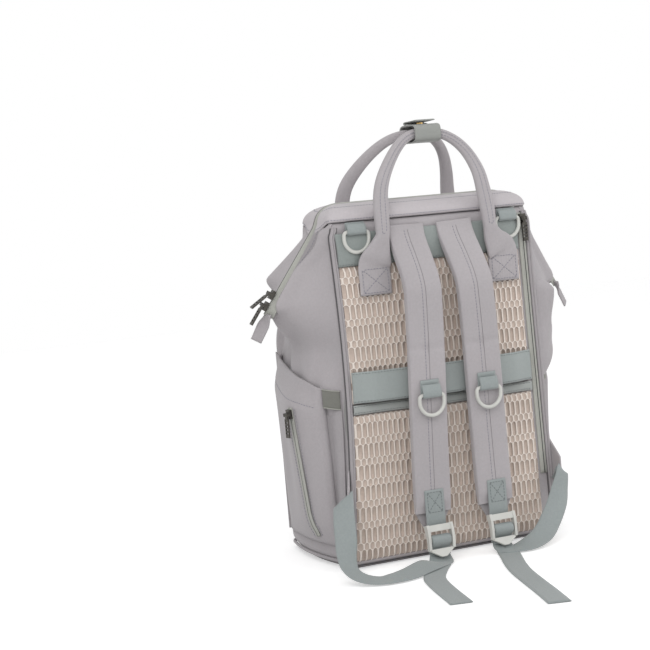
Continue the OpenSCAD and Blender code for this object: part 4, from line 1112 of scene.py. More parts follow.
def pocket_point(q, z, out, share=1.0):
    """Point of the right pocket; share draws it in towards the body."""
    v = (z - POCKET_FOOT) / (mouth_z(q) - POCKET_FOOT)
    body = side_point(z, mix(POCKET_BACK, 1 - POCKET_BACK, q))
    hugged = share * mix(1, mouth_share(q), ease((v - 0.82) / 0.18))
    reach = CLEAR + out + hugged * POCKET_BULGE * pocket_swell(q) * pocket_fill(v)
    return body + stacked(reach, 0, 0)


def pocket_grid(q_values, share=1.0, rows=70):
    v, q = grid_of(np.linspace(0, 1, rows), q_values)
    return pocket_point(q, mix(POCKET_FOOT, mouth_z(q), v), POCKET_T, share), v, q


def pocket_panel():
    """Main panel with a rolled mouth, edges that curl in at the pleats, and soft buckles."""
    q_values = np.linspace(PLEAT_Q, 1 - PLEAT_Q, 60)
    points, v, q = pocket_grid(q_values)
    edge = np.minimum(q - PLEAT_Q, 1 - PLEAT_Q - q) / (1 - 2 * PLEAT_Q)
    curl = -PLEAT_CURL * (1 - ease(edge / 0.05)) ** 2
    buckles = BUCKLE * np.sin(17 * q + 3 * v) * np.sin(np.pi * v) ** 2
    hem = HEM_ROLL * bump(v, HEM_EDGE, 0.02) - HEM_GROOVE * bump(v, HEM_V, 0.012)
    return pushed(points, curl + (buckles + hem) * ease(edge / 0.1))


def gusset(end, q_values):
    """Bellows at one end of a pocket, drawn in behind the main panel's edge."""
    points, v, q = pocket_grid(q_values, GUSSET_SHARE[end])
    off_end = np.minimum(q, 1 - q) / (PLEAT_Q + PLEAT_OVER)
    fold = -PLEAT_IN * bump(off_end, 0.72, 0.3) * ease(v / 0.25) * ease((1 - v) / 0.08)
    return pushed(points, fold)


def elastic_band(end, q_values):
    k, q = grid_of(np.linspace(1, 0, 10), q_values)
    points = pocket_point(q, mouth_z(q) - 1 - ELASTIC_H * k, *ELASTICS[end])
    return pushed(points, 0.8 * np.sin(np.pi * clamp01(np.minimum(q, 1 - q) / PLEAT_Q)))


def side_pocket(side, flip):
    panel = sided(pocket_panel(), flip)
    sewn(side + "_pocket_panel", panel, canvas, PANEL_CLOTH_T, side + "_pocket")
    hem = int(HEM_V * len(panel))
    sewing(side + "_pocket_hem", [(panel[hem, 3:-3], grid_normals(panel)[hem, 3:-3])], thread)
    reach = np.linspace(0, PLEAT_Q + PLEAT_OVER, 24)
    for end, q_values in (("rear", reach), ("front", 1 - reach[::-1])):
        sewn(f"{side}_pocket_gusset_{end}", sided(gusset(end, q_values), flip), canvas_edge, GUSSET_T)
        pocket_elastic(side, flip, end, q_values)


def pocket_elastic(side, flip, end, q_values):
    """Ribbed elastic over one pleat, with a thin cord along its lower and upper edge."""
    near_end = np.minimum(q_values, 1 - q_values) < PLEAT_Q + ELASTIC_OVER
    points = sided(elastic_band(end, q_values[near_end]), flip)
    name = f"{side}_pocket_elastic_{end}"
    nodes = [side + "_elastics"] if end == "rear" else []
    placed(cloth(name, points, elastic_rib, GUSSET_T), "bag", "elastic", *nodes)
    for edge, row in (("low", 0), ("high", -1)):
        placed(cord_tube(f"{name}_{edge}", points[row], ELASTIC_EDGE_R, elastic_edge), "bag", "elastic")


POCKET_ZIP_Q, POCKET_ZIP_LOW, POCKET_ZIP_HIGH = 0.29, 58.0, 190.0
POCKET_ZIP_W, POCKET_ZIP_BEND = 9.0, 0.04
# Stitches beside a zip: distance from its middle, and how far they sink in
POCKET_ZIP_SEAM, FRONT_ZIP_SEAM = (8.5, 0.2), (9.0, 0.6)


def pocket_zip_normal():
    """Outward way of the pocket's zip, square to its straight line."""
    ends = np.array([POCKET_ZIP_LOW, POCKET_ZIP_HIGH])
    low, high = mirrored(pocket_point(np.full(2, POCKET_ZIP_Q), ends, POCKET_T + CLEAR))
    way = unit(high - low)
    middle = np.full(2, mix(EDGE_R, SHOULDER_Z, 0.44))
    beside = mirrored(pocket_point(POCKET_ZIP_Q + np.array([0.03, -0.03]), middle, 0.0))
    return unit(np.cross(way, unit(beside[0] - beside[1])))


def pocket_zip():
    z = np.linspace(POCKET_ZIP_LOW - 22, POCKET_ZIP_HIGH, 60)
    q = POCKET_ZIP_Q - POCKET_ZIP_BEND * ease((POCKET_ZIP_LOW + 8 - z) / 30)
    path = mirrored(pocket_point(q, z, POCKET_T + CLEAR + 0.8))
    normal = pocket_zip_normal()
    zip_piece("pocket_zip_tape", path, normal, POCKET_ZIP_W, "pocket_zip")
    zip_stitches("pocket_zip_stitches", path, normal, *POCKET_ZIP_SEAM)


# Front pocket with an arched zip

FRONT_SEAM_Z, FRONT_BULGE, FRONT_BUCKLE, FRONT_SHARE = 72.0, 16.0, 1.2, 0.9
SEAM_CORD_R, SEAM_CORD_END = 1.3, 0.96
FRONT_POCKET_TOP = SHOULDER_Z - 2
FRONT_ZIP_X, FRONT_ZIP_LOW, FRONT_ZIP_LEG, FRONT_ARCH = HALF_W - 46, FRONT_SEAM_Z + 20, 170.0, 58.0
FRONT_ZIP_Y, FRONT_ZIP_W = HALF_D + FRONT_BULGE + POCKET_T + 2 * CLEAR, 12.0


def front_pocket():
    rows = run_through([0, 0.1, 0.9, 1], [14, 40, 14])
    v, q = grid_of(rows, run_through([1, 0.85, -0.85, -1], [16, 50, 16]))
    z = mix(FRONT_SEAM_Z, FRONT_POCKET_TOP, v)
    fill = np.sqrt(clamp01(np.minimum(v, 1 - v) / 0.09)) * np.sqrt(clamp01((1 - np.abs(q)) / 0.14))
    reach = CLEAR + POCKET_T + FRONT_BULGE * fill
    points = front_point(z, FRONT_SHARE * q) + stacked(0, reach, 0)
    soft = FRONT_BUCKLE * np.sin(7 * q + 2) * np.sin(np.pi * v) * bump(v, 0.3, 0.2)
    sewn("front_pocket_cloth", pushed(points, soft), canvas, PANEL_T, "front_pocket")
    across = np.linspace(SEAM_CORD_END, -SEAM_CORD_END, 80)
    seam = front_point(np.full(80, FRONT_SEAM_Z - 2.0), across) + [0, 0.5, 0]
    placed(cord_tube("front_base_seam", seam, SEAM_CORD_R, canvas_edge), "bag", "grey_canvas")


def front_zip():
    leg_z = np.linspace(FRONT_ZIP_LOW, FRONT_ZIP_LEG - 4, 20)
    leg = stacked(FRONT_ZIP_X, FRONT_ZIP_Y, leg_z)
    a = np.radians(np.linspace(0, 90, 24))
    arch_x = FRONT_ZIP_X - FRONT_ARCH * (1 - np.cos(a))
    arch = stacked(arch_x, FRONT_ZIP_Y, FRONT_ZIP_LEG + FRONT_ARCH * np.sin(a))
    half = np.vstack([leg, arch])
    path = np.vstack([half, mirrored(half)[::-1]])
    zip_piece("front_zip_tape", path, TO_FRONT, FRONT_ZIP_W, "front_zip")
    zip_stitches("front_zip_stitches", path, TO_FRONT, *FRONT_ZIP_SEAM)


# Handles and their wrap

HANDLE_HALF, HANDLE_RISE, HANDLE_D, HANDLE_LEAN = 70.0, 76.0, 13.0, 15.0
PATCH_W, PATCH_T, PATCH_LOW, PATCH_HIGH, PATCH_SHIFT = 40.0, 3.4, SEAM_Z - 86, SEAM_Z - 54, 12.0
PATCH_STAND, NECK_STAND, FRONT_STAND = 3.1, 4.4, 2.6
NECK_H, LEG_H, APEX_GAP = 43.0, 62.0, 10.0
SPREAD_RIGHT, LEG_LEAN, SMOOTH_PASSES = 1.07, 0.8, 60
ARCH_W, ARCH_TOP_W, ARCH_T, HANDLE_ROUND = 1.48, 0.85, 0.8, 0.85
# Arches of the back (False) and front (True) handle: half width, power of the height, and roundness
ARCHES = {
    (False, "left"): (HANDLE_HALF, 1.3, 0.4),
    (False, "right"): (HANDLE_HALF, 1.3, 0.42),
    (True, "left"): (HANDLE_HALF + 7, 1.6, 0.36),
    (True, "right"): (HANDLE_HALF, 1.3, 0.5),
}
HANDLE_TOP = TOP_Z + HANDLE_RISE


def handle_half(front, which):
    """One half of a handle from patch to top: rows of x, y, z, normal z, width, thickness and roundness."""
    half, power, root = ARCHES[front, which]
    side = 1 if front else -1
    shapes = [
        (PATCH_LOW, 0, PATCH_W, PATCH_T),
        (mix(PATCH_LOW, PATCH_HIGH, 0.5), 0, PATCH_W, PATCH_T),
        (PATCH_HIGH, 0, PATCH_W, PATCH_T),
        (PATCH_HIGH + 0.23 * NECK_H, 0.25, 0.94 * PATCH_W, 0.42 * HANDLE_D),
        (PATCH_HIGH + 0.5 * NECK_H, 0.6, 0.66 * PATCH_W, 0.6 * HANDLE_D),
        (PATCH_HIGH + 0.8 * NECK_H, 0.95, 0.42 * PATCH_W, 0.84 * HANDLE_D),
        (PATCH_HIGH + NECK_H, 1, 1.32 * HANDLE_D, 0.84 * HANDLE_D),
        (PATCH_HIGH + LEG_H, 1, ARCH_W * HANDLE_D, ARCH_T * HANDLE_D),
    ]
    rows = []
    for z, rolled, w, t in shapes:
        stand = NECK_STAND if rolled > 0 else PATCH_STAND
        y = float(front_y(min(z, SEAM_Z))) + FRONT_STAND if front else -HALF_D - MESH_T - stand
        x = half + PATCH_SHIFT * (1 - rolled) - LEG_LEAN * (z > PATCH_HIGH + NECK_H)
        rows.append([x, y + side * t / 2, z, 0.5 * front, w, t, mix(0.4, HANDLE_ROUND, rolled)])
    foot = rows[-1][1]
    for a in np.radians(np.linspace(9, 90, 12)):
        y = mix(foot, RIDGE_Y + side * APEX_GAP, np.sin(a) ** 1.3)
        z = mix(TOP_Z, HANDLE_TOP, np.sin(a))
        x = half * max(1 - np.sin(a) ** power, 0) ** root
        w = mix(ARCH_W, ARCH_TOP_W, np.sin(a)) * HANDLE_D
        rows.append([x, y, z, 0.0, w, ARCH_T * HANDLE_D, HANDLE_ROUND])
    return np.array(rows)


def handle_rows(front):
    """Both halves of a handle in one run, smoothed above the necks and leaning to the right."""
    half = handle_half(front, "right")
    other = handle_half(front, "left")[-2::-1] * [-1, 1, 1, 1, 1, 1, 1]
    rows = spline(np.vstack([half, other]), 6)
    spread = mix(SPREAD_RIGHT, 1.0, ease((rows[:, 2] - PATCH_HIGH) / (0.6 * NECK_H)))
    rows[:, 0] *= np.where(rows[:, 0] > 0, spread, 1.0)
    free = ease((rows[1:-1, 2:3] - PATCH_HIGH - NECK_H) / 14)
    for _ in range(SMOOTH_PASSES):
        middle = (rows[:-2, :3] + rows[2:, :3]) / 2
        rows[1:-1, :3] += 0.5 * free * (middle - rows[1:-1, :3])
    rows[:, 0] += HANDLE_LEAN * ease((rows[:, 2] - TOP_Z) / HANDLE_RISE)
    return rows


HANDLE_GROOVE, GROOVE_W = 0.9, 0.9
STITCH_SHARE, FACE_SHARE = 0.16, 0.482
# Rows of a patch after the spline, from its lower to its upper edge
PATCH_FIRST, PATCH_MIDDLE, PATCH_LAST, PATCH_MARGIN = 1, 5, 11, 4


def handle_outline(w, t, power):
    """Oval with a groove along its outside, where the rolled cloth meets."""
    outline = oval(w, t, power, 40)
    groove = HANDLE_GROOVE * bump(outline[:, 0], 0, GROOVE_W) * (outline[:, 1] > 0) * ease((t - 5) / 5)
    return outline - np.stack([0 * groove, groove], -1)


def handle(front):
    name = "handle_front" if front else "handle_back"
    rows = handle_rows(front)
    path = rows[:, :3]
    normals = stacked(0, 1.0 if front else -1.0, rows[:, 3])
    profiles = np.stack([handle_outline(*shape) for shape in rows[:, 4:]])
    obj = tube(name + "_cloth", sweep_points(path, normals, profiles), [canvas])
    placed(obj, "bag", "grey_canvas", name)
    handle_stitches(name, rows, *path_frame(path, normals)[1:])


def handle_stitches(name, rows, across, out):
    """Two rows along the groove, closed at both ends, and a box and cross on each patch."""
    path = rows[:, :3]
    rolled = np.flatnonzero(rows[:, 2] > PATCH_HIGH + 0.85 * NECK_H)
    face = path + out * rows[:, 5:6] * FACE_SHARE
    edges = [face + across * share * rows[:, 4:5] for share in (-STITCH_SHARE, STITCH_SHARE)]
    lines = [(edge[rolled], out[rolled]) for edge in edges]
    for k in (rolled[0], rolled[-1]):
        lines.append((np.linspace(edges[0][k], edges[1][k], 6), out[k]))
    patch = path + out * (PATCH_T / 2 + 0.05)
    for order in (slice(None), slice(None, None, -1)):
        flat, normal = patch[order], out[order][PATCH_MIDDLE]
        side = across[order][PATCH_MIDDLE] * (PATCH_W / 2 - PATCH_MARGIN)
        lines += box_cross(flat[PATCH_FIRST], flat[PATCH_LAST], side, 12, normal)
    sewing(name + "_stitches", lines, thread)


WRAP_L, WRAP_T = 34.0, 1.6
WRAP_IN_Y, WRAP_IN_Z = 2 * APEX_GAP + HANDLE_D + 3.6, HANDLE_D + 5.5
WRAP_MID_Z = HANDLE_TOP - 1.6
WRAP_TOP = WRAP_MID_Z + WRAP_IN_Z / 2 + WRAP_T
FLAP_L, FLAP_T, SNAP_H = 26.0, 1.8, 2.4
WRAP_ROWS, WRAP_SIDES = 26, 64
FLAP_Z = WRAP_TOP + SNAP_H + 0.4 + FLAP_T / 2
FLAP_OUTLINE = ribbon_outline(WRAP_L - 6, FLAP_T, 16)


def handle_wrap():
    outline = oval(WRAP_IN_Y + 2 * WRAP_T, WRAP_IN_Z + 2 * WRAP_T, 0.5, WRAP_SIDES)
    x = np.linspace(-WRAP_L / 2, WRAP_L / 2, WRAP_ROWS)[:, None]
    grow = 1 + 0.02 * np.abs(2 * x / WRAP_L) ** 4
    loops = stacked(HANDLE_LEAN + x, RIDGE_Y + outline[:, 0] * grow, WRAP_MID_Z + outline[:, 1] * grow)
    faces = grid_faces(WRAP_ROWS, WRAP_SIDES, closed=True)
    obj = new_object("wrap_sleeve", loops, faces, [wrap_cloth], metric_uvs(loops))
    add_modifier(obj, "SOLIDIFY", thickness=WRAP_T * MM, offset=-1.0)
    placed(obj, "bag", "ribbon", "handle_wrap")


def wrap_flap():
    """Flap from its hinge line over the stud, and the turn that carries it, which stays on the wrap."""
    t = np.linspace(0, 1, 24)
    path = stacked(HANDLE_LEAN, RIDGE_Y + FLAP_L / 2 - FLAP_L * t, FLAP_Z + 0.6 * t**2)
    obj = tube("wrap_flap_cloth", sweep_points(path, UP, FLAP_OUTLINE), [wrap_cloth])
    placed(obj, "wrap_flap", "ribbon", "wrap_flap")
    turn_r = (FLAP_Z - WRAP_TOP - FLAP_T / 2) / 2
    a = np.radians(np.linspace(-90, 90, 13))
    turn_y = np.concatenate([np.linspace(FLAP_L / 4, FLAP_L / 2, 8)[:-1], FLAP_L / 2 + turn_r * np.cos(a)])
    turn_z = FLAP_Z - turn_r + turn_r * np.concatenate([np.full(7, -1.0), np.sin(a)])
    root = stacked(HANDLE_LEAN, RIDGE_Y + turn_y, turn_z)
    obj = tube("wrap_flap_root", sweep_points(root, -plane_normals(root), FLAP_OUTLINE), [wrap_cloth])
    placed(obj, "bag", "ribbon")


# Ribbon loops that hold the D-rings

RING_ROD, BAR_CLEAR, RING_INSIDE, RING_LEG, RING_CORNER = 4.4, 0.08, 27.0, 8.0, 4.5
LOOP_R = RING_ROD / 2 + BAR_CLEAR + WEB_T / 2
# Lengths of a loop's back and front leg
TOP_LEGS, STRAP_LEGS = (11.0, 9.0), (17.0, 12.0)


def loop_path(length, front_length):
    """Ribbon round a bar as (outwards, up) points, from the back leg to the front one."""
    a = np.radians(np.linspace(180, 360, 15))
    turn = np.stack([LOOP_R * np.cos(a), LOOP_R * np.sin(a)], -1)
    back = np.stack([np.full(6, -LOOP_R), np.linspace(length, 1, 6)], -1)
    front_z = np.linspace(1, front_length, 6)
    front = np.stack([LOOP_R - 0.9 * LOOP_R * ease((front_z - 3) / (front_length - 3)), front_z], -1)
    return np.vstack([back, turn, front])


def ring_loop(name, centre, tilt, length, front_length, body, *nodes):
    path = upright(loop_path(length, front_length), tilt) + centre
    loops = sweep_points(path, plane_normals(path), ribbon_outline(WEB_W - 1, WEB_T, 14))
    placed(tube(name, loops, [webbing_rib]), body, "ribbon", *nodes)


TOP_RING = np.array([HANDLE_HALF + 29.5, -HALF_D - WEB_T - 2 * CLEAR - LOOP_R - WEB_T / 2, SEAM_Z - 12])


def top_loops():
    for side, flip in (("left", -1), ("right", 1)):
        nodes = ["top_ring_tabs"] if side == "left" else []
        centre = TOP_RING * [flip, 1, 1]
        ring_loop(side + "_top_loop", centre, 0.0, *TOP_LEGS, "bag", *nodes)
        d_ring(side + "_top_d_ring", centre, side + "_top_ring", side + "_top_ring")


def d_ring(name, centre, body, node):
    """Moulded D with rounded corners: a straight bar, two legs and a half circle."""
    half = RING_INSIDE / 2 + RING_ROD / 2
    quarter = np.radians(np.linspace(90, 0, 7))
    turn = np.stack([half - RING_CORNER * (1 - np.cos(quarter)), RING_CORNER * (np.sin(quarter) - 1)], -1)
    bow = np.radians(np.linspace(0, -90, 16))
    leg = np.stack([half * np.cos(bow), -RING_LEG + half * np.sin(bow)], -1)
    right = np.vstack([[[0, 0]], turn, leg])
    flat = np.vstack([right, (right * [-1, 1])[-2:0:-1]])
    path = centre + stacked(flat[:, 0], 0, flat[:, 1])
    obj = cord_tube(name, path, RING_ROD / 2, pale_plastic, ring=True, normal=TO_STRAPS)
    placed(obj, body, "pale_plastic", node)


# Shoulder straps

STRAP_W, STRAP_T, STRAP_END_T = 46.0, 10.0, 5.0
STRAP_TOP_Z, STRAP_END_Z, STRAP_RING_Z = SEAM_Z - 9, 58.0, 196.0
STRAP_REST_Y = -HALF_D - WEB_T - STRAP_END_T / 2 - 1.2
STRAP_RUN, STRAP_BOW, STRAP_RETURN = 80.0, 34.0, 10.0
TOP_THINNING, END_THINNING = 40, 16
STRAP_TOP_X = {"left": -0.265 * HALF_W, "right": 0.2 * HALF_W}
STRAP_LOW_X = {"left": -0.316 * HALF_W, "right": 0.294 * HALF_W}


def strap_y(z):
    low = STRAP_TOP_Z - STRAP_RUN
    bowed = STRAP_REST_Y - STRAP_BOW * ease((STRAP_TOP_Z - z) / STRAP_RUN)
    return bowed + STRAP_RETURN * ease((low - z) / (low - STRAP_END_Z))


def strap_path(side, z):
    share = (z - STRAP_END_Z) / (STRAP_TOP_Z - STRAP_END_Z)
    return np.stack([mix(STRAP_LOW_X[side], STRAP_TOP_X[side], share), strap_y(z), z], -1)


def strap_tilt(z):
    return np.arctan2(strap_y(z - 4) - strap_y(z + 4), 8)


def strap_thickness(z):
    near_end = np.minimum((STRAP_TOP_Z - z) / TOP_THINNING, (z - STRAP_END_Z) / END_THINNING)
    return mix(STRAP_END_T, STRAP_T, ease(near_end))


CREASE_Z, CREASE_NEAR, CREASE_DEPTH, CREASE_H = 249.0, 14, 1.6, 5
STITCH_OFF, SEAM_OFF, SEAM_R = -3.4, 1.2, 0.4
END_NEAR, STRAP_CROWN = 20, 0.1
TONGUE_L, TONGUE_T, TONGUE_ARCH = 18.0, 1.6, 0.7
STRAP_BOXY, STRAP_GROOVE, STRAP_GROOVE_W = 0.32, 0.34, 1.1


def strap_outline(z):
    """Pad with crisp edges, a sewn groove down the middle and a soft cross crease."""
    outline = oval(STRAP_W, 1.0, STRAP_BOXY, 72)
    thick = strap_thickness(z) - CREASE_DEPTH * bump(z, CREASE_Z, CREASE_H)
    full = 1 + STRAP_CROWN * (1 - (2 * outline[:, 0] / STRAP_W) ** 2)
    groove = 1 - STRAP_GROOVE * bump(outline[:, 0], 0, STRAP_GROOVE_W)
    return np.stack([outline[:, 0], outline[:, 1] * thick * full * groove], -1)


def strap(side):
    crease = [CREASE_Z + CREASE_NEAR, CREASE_Z - CREASE_NEAR]
    z = run_through([STRAP_TOP_Z, *crease, STRAP_END_Z + END_NEAR, STRAP_END_Z], [60, 24, 60, 24])
    path = strap_path(side, z)
    loops = sweep_points(path, TO_STRAPS, np.stack([strap_outline(k) for k in z]))
    obj = tube(side + "_strap_pad", loops, [canvas])
    placed(obj, side + "_strap", "grey_canvas", side + "_strap")
    strap_stitches(side, z, path)


def strap_stitches(side, z, path):
    """Row of stitches and a fine seam cord along the groove of a strap, darker as painted shade of the
    groove, then the tongue at its end.
    """
    way, across, out = path_frame(path, TO_STRAPS)
    face = path + out * (strap_thickness(z)[:, None] / 2 * (1 + 0.9 * STRAP_CROWN))
    inside = slice(3, -14)
    rows = [((face + across * STITCH_OFF)[inside], out[inside])]
    sewing(side + "_strap_stitches", rows, thread, side + "_strap")
    seam = (face + across * SEAM_OFF)[inside]
    placed(cord_tube(side + "_strap_seam_painted_shade", seam, SEAM_R, strap_seam_painted_shade), side + "_strap", "grey_canvas")
    strap_tongue(side, path[-1], way[-1])


def strap_tongue(side, end, way):
    """Thin cloth that narrows from the square end of a strap to its webbing tab."""
    t, k = grid_of(np.linspace(-0.12, 1, 12), np.linspace(1, -1, 16))
    half = mix(STRAP_W - 3, WEB_W - 1, clamp01(t)) / 2
    arched = TONGUE_T / 2 - TONGUE_ARCH * np.cos(2.2 * k)
    points = end + (TONGUE_L * t)[..., None] * way + stacked(half * k, arched, 0)
    placed(cloth(side + "_strap_tongue", points, canvas_edge, TONGUE_T), side + "_strap", "grey_canvas")


def strap_face(side, z, out):
    tilt = float(strap_tilt(z))
    reach = STRAP_T / 2 + CLEAR + out
    return strap_path(side, np.float64(z)) - np.array([0, reach * np.cos(tilt), reach * np.sin(tilt)])


def strap_loop(side):
    centre = strap_face(side, STRAP_RING_Z, LOOP_R + WEB_T / 2)
    tilt = float(strap_tilt(STRAP_RING_Z))
    ring_loop(side + "_strap_loop", centre, tilt, *STRAP_LEGS, side + "_strap", side + "_strap_tab")
    d_ring(side + "_strap_d_ring", centre, side + "_strap_ring", side + "_strap_ring")


# Ladder lock tabs and webbing

LOCK_BAR_Z, LOCK_BAR_R, LOCK_TILT = 41.0, 2.0, np.radians(-14)
LOCK_LOOP_R = LOCK_BAR_R + BAR_CLEAR + WEB_T
LOCK_TAB_H, BOX_LOW, BOX_HIGH, BOX_MARGIN = 44.0, 18.0, 41.0, 3.5


def lock_pos(side):
    y = float(strap_y(STRAP_END_Z)) - STRAP_T / 2 - CLEAR - LOCK_LOOP_R
    return np.array([STRAP_LOW_X[side], y, LOCK_BAR_Z])


def lock_tab(side):
    """Ribbon sewn to the strap's end and round the lock's bar, with a stitched box and cross."""
    r = LOCK_LOOP_R - WEB_T / 2
    a = np.radians(np.linspace(180, 380, 16))
    turn = np.stack([r * np.cos(a), r * np.sin(a)], -1)
    leg = np.stack([np.full(14, -r), np.linspace(LOCK_TAB_H, 1, 14)], -1)
    path = upright(np.vstack([leg, turn])) + lock_pos(side)
    loops = sweep_points(path, plane_normals(path), ribbon_outline(WEB_W, WEB_T, 14))
    placed(tube(side + "_lock_ribbon", loops, [webbing_rib]), side + "_strap", "ribbon", side + "_lock_tab")
    face = lock_pos(side) + [0, r - WEB_T / 2 - 0.05, 0]
    half = np.array([WEB_W / 2 - BOX_MARGIN, 0, 0])
    rows = box_cross(face + [0, 0, BOX_LOW], face + [0, 0, BOX_HIGH], half, 10, TO_STRAPS)
    sewing(side + "_lock_stitches", rows, green_thread, side + "_strap", "ribbon")


FLOOR_LIFT = WEB_T / 2 + 0.15
CORNER_TAB_Z = 88.0
CORNER_END = {
    "left": np.array([-HALF_W - 15, -HALF_D - 20, CORNER_TAB_Z - 4]),
    "right": np.array([HALF_W + 2, -HALF_D - 23, CORNER_TAB_Z - 4]),
}
CORNER_NORMAL = {"left": (-1, -1, 0.1), "right": (0.3, -1, 0.1)}
# How the loops start at their corner tabs: a slanted fold on the left, an arch that narrows on the right
END_SLANT = {"left": 17.0, "right": 0.0}
END_W = {"left": WEB_W, "right": 9.0}
END_ROWS = {"left": 14, "right": 34}
ARCH_START = {"left": [], "right": [(139.0, -96.0, 68.0), (139.5, -106.0, 76.0)]}
# Loose loop: share of the way from corner to lock, distance off the back, height, upper side
LOOP_RUNS = {
    "left": [
        (-0.05, 30, 62, (-0.6, -1, 0)),
        (-0.08, 38, 46, (-0.4, -1, 0.1)),
        (-0.13, 48, 29, (0.1, -0.95, 0.4)),
        (-0.14, 58, 16, (0.35, -0.75, 0.8)),
        (-0.08, 70, 8, (0.2, -0.4, 1)),
        (0.05, 81, 4.2, (0, -0.16, 1)),
        (0.2, 86, 4.4, (0, -0.2, 1)),
        (0.42, 83, 5.6, (0.05, -0.3, 1)),
        (0.72, 66, 7, (0.1, -0.36, 1)),
        (0.98, 47, 3, (0, -0.12, 1)),
    ],
    "right": [
        (0.07, 27, 61, (0.1, -1, 0)),
        (0.16, 32, 44, (-0.2, -1, 0.15)),
        (0.31, 39, 27, (-0.3, -1, 0.45)),
        (0.49, 48, 14, (-0.3, -0.8, 0.8)),
        (0.73, 55, 7, (-0.2, -0.4, 1)),
        (0.99, 47, 3, (0, -0.12, 1)),
    ],
}
# Tail on the floor, as steps sideways and outwards from the lock
TAIL_RUNS = {
    "left": [(-10, -17), (-27, -40), (-46, -72), (-60, -118), (-73, -172), (-77, -188)],
    "right": [(-3, -18), (-14, -44), (-28, -76), (-44, -120), (-70, -210), (-84, -256)],
}
# Room behind the lock, so that it can tilt without touching the tail
TAIL_BEHIND = 3.6
# Webbing through the lock, in the lock's own plane as (outwards, up)
LOCK_TURN = [(-9.6, -28.5), (-8, -23), (-6, -13.6), (-3.6, -9.4), (0, -8.3), (3.6, -10.2)]
LOCK_TURN += [(4.7, -14), (3.4, -17.8), (0.2, -20.4), (-3.2, -22.4), (-4.9, -26), (-5.2, -31)]


def ribbon_sweep(name, path, normals, per=6, slant=0.0, first_w=WEB_W, end_rows=14):
    """Flat strap along a path; slant cuts its first end at an angle, and first_w is its width there."""
    rows = spline(np.hstack([path, unit(normals)]), per)
    rows[:, 2] = np.maximum(rows[:, 2], FLOOR_LIFT)
    fade = 1 - ease(np.arange(len(rows)) / end_rows)
    outlines = np.stack([ribbon_outline(mix(WEB_W, first_w, k), WEB_T, 16) for k in fade])
    loops = sweep_points(rows[:, :3], unit(rows[:, 3:]), outlines)
    raised = slant * (0.5 - outlines[..., :1] / WEB_W) * fade[:, None, None]
    return tube(name, loops + raised * unit(rows[0, :3] - rows[1, :3]), [webbing_rib])


def webbing(side):
    turn = lock_pos(side) + upright(LOCK_TURN, LOCK_TILT)
    normals = plane_normals(turn)
    obj = ribbon_sweep(side + "_webbing_turn", turn, normals, 4)
    placed(obj, side + "_lock", "ribbon", side + "_webbing")
    webbing_loop(side, turn, normals)
    webbing_tail(side, turn, normals)


def webbing_loop(side, turn, turn_normals):
    """Loose loop from the corner tab on the bag to the lock on the strap."""
    inner = -np.array(CORNER_NORMAL[side])
    start = CORNER_END[side] - 0.85 * unit(inner * [1, 1, 0]) - [0, 0, 4]
    points = [*ARCH_START[side], start]
    normals = [inner + [0, 0, -1.5] for _ in ARCH_START[side]] + [inner]
    for share, off, z, upper in LOOP_RUNS[side]:
        points.append([mix(CORNER_END[side][0], STRAP_LOW_X[side], share), -HALF_D - off, z])
        normals.append(-np.array(upper, float))
    points = np.vstack([points, turn[:2]])
    normals = np.vstack([normals, turn_normals[:2]])
    ends = (END_SLANT[side], END_W[side], END_ROWS[side])
    loop = ribbon_sweep(side + "_webbing_loop", points, normals, 10, *ends)
    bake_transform(loop)


def webbing_tail(side, turn, turn_normals):
    """Free end that leaves the lock at its back and lies on the floor."""
    offsets = np.array(TAIL_RUNS[side], float)
    floor = np.column_stack([lock_pos(side)[:2] + offsets, np.full(len(offsets), FLOOR_LIFT)])
    points = np.vstack([turn[-3:] + [0, TAIL_BEHIND, 0], floor])
    normals = np.vstack([turn_normals[-3:], np.tile(UP, (len(floor), 1))])
    tail = ribbon_sweep(side + "_webbing_tail", points, normals, 8)
    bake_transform(tail)


CORNER_TAB_H, CORNER_TAB_T = 56.0, 1.8


def corner_tab(side, flip):
    """Folded triangle of canvas that ties the webbing into the bottom corner."""
    root = np.array([flip * (HALF_W + 3.6), -HALF_D + 1, CORNER_TAB_Z])
    end = CORNER_END[side]
    t, k = grid_of(np.linspace(0, 1, 14), np.linspace(-0.5, 0.5, 16))
    sag = 1.6 * np.sin(np.pi * t) * np.cos(3 * k)
    points = drawn_in(mix(root, end, t[..., None]) + stacked(0, -sag, mix(CORNER_TAB_H, WEB_W, t) * k))
    if flip > 0:
        points = points[::-1]
    nodes = ["corner_tabs"] if side == "left" else []
    sewn(side + "_corner_tab", points.transpose(1, 0, 2), canvas, CORNER_TAB_T, *nodes)


# Inner pieces keep their CAD shape and get a finish


def inner_finishes():
    finishes = {
        "lining": lining_cloth,
        "base_board": board_sheet,
        "frame_wire_back": spring_steel,
        "frame_wire_front": spring_steel,
    }
    for node, material in finishes.items():
        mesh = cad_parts[node].data
        mesh.materials.clear()
        mesh.materials.append(material)


# Studio

WHITE = (1, 1, 1, 1)
FLOOR_GLOW, FLOOR_HALF, FLOOR_Z = 0.45, 4000.0, -0.2


def seen_directly(tree):
    """One for rays of the camera and of reflections, and nothing for light that falls on the bag."""
    path = add_node(tree, "ShaderNodeLightPath")
    return maths(tree, "MAXIMUM", path.outputs["Is Camera Ray"], path.outputs["Is Glossy Ray"])


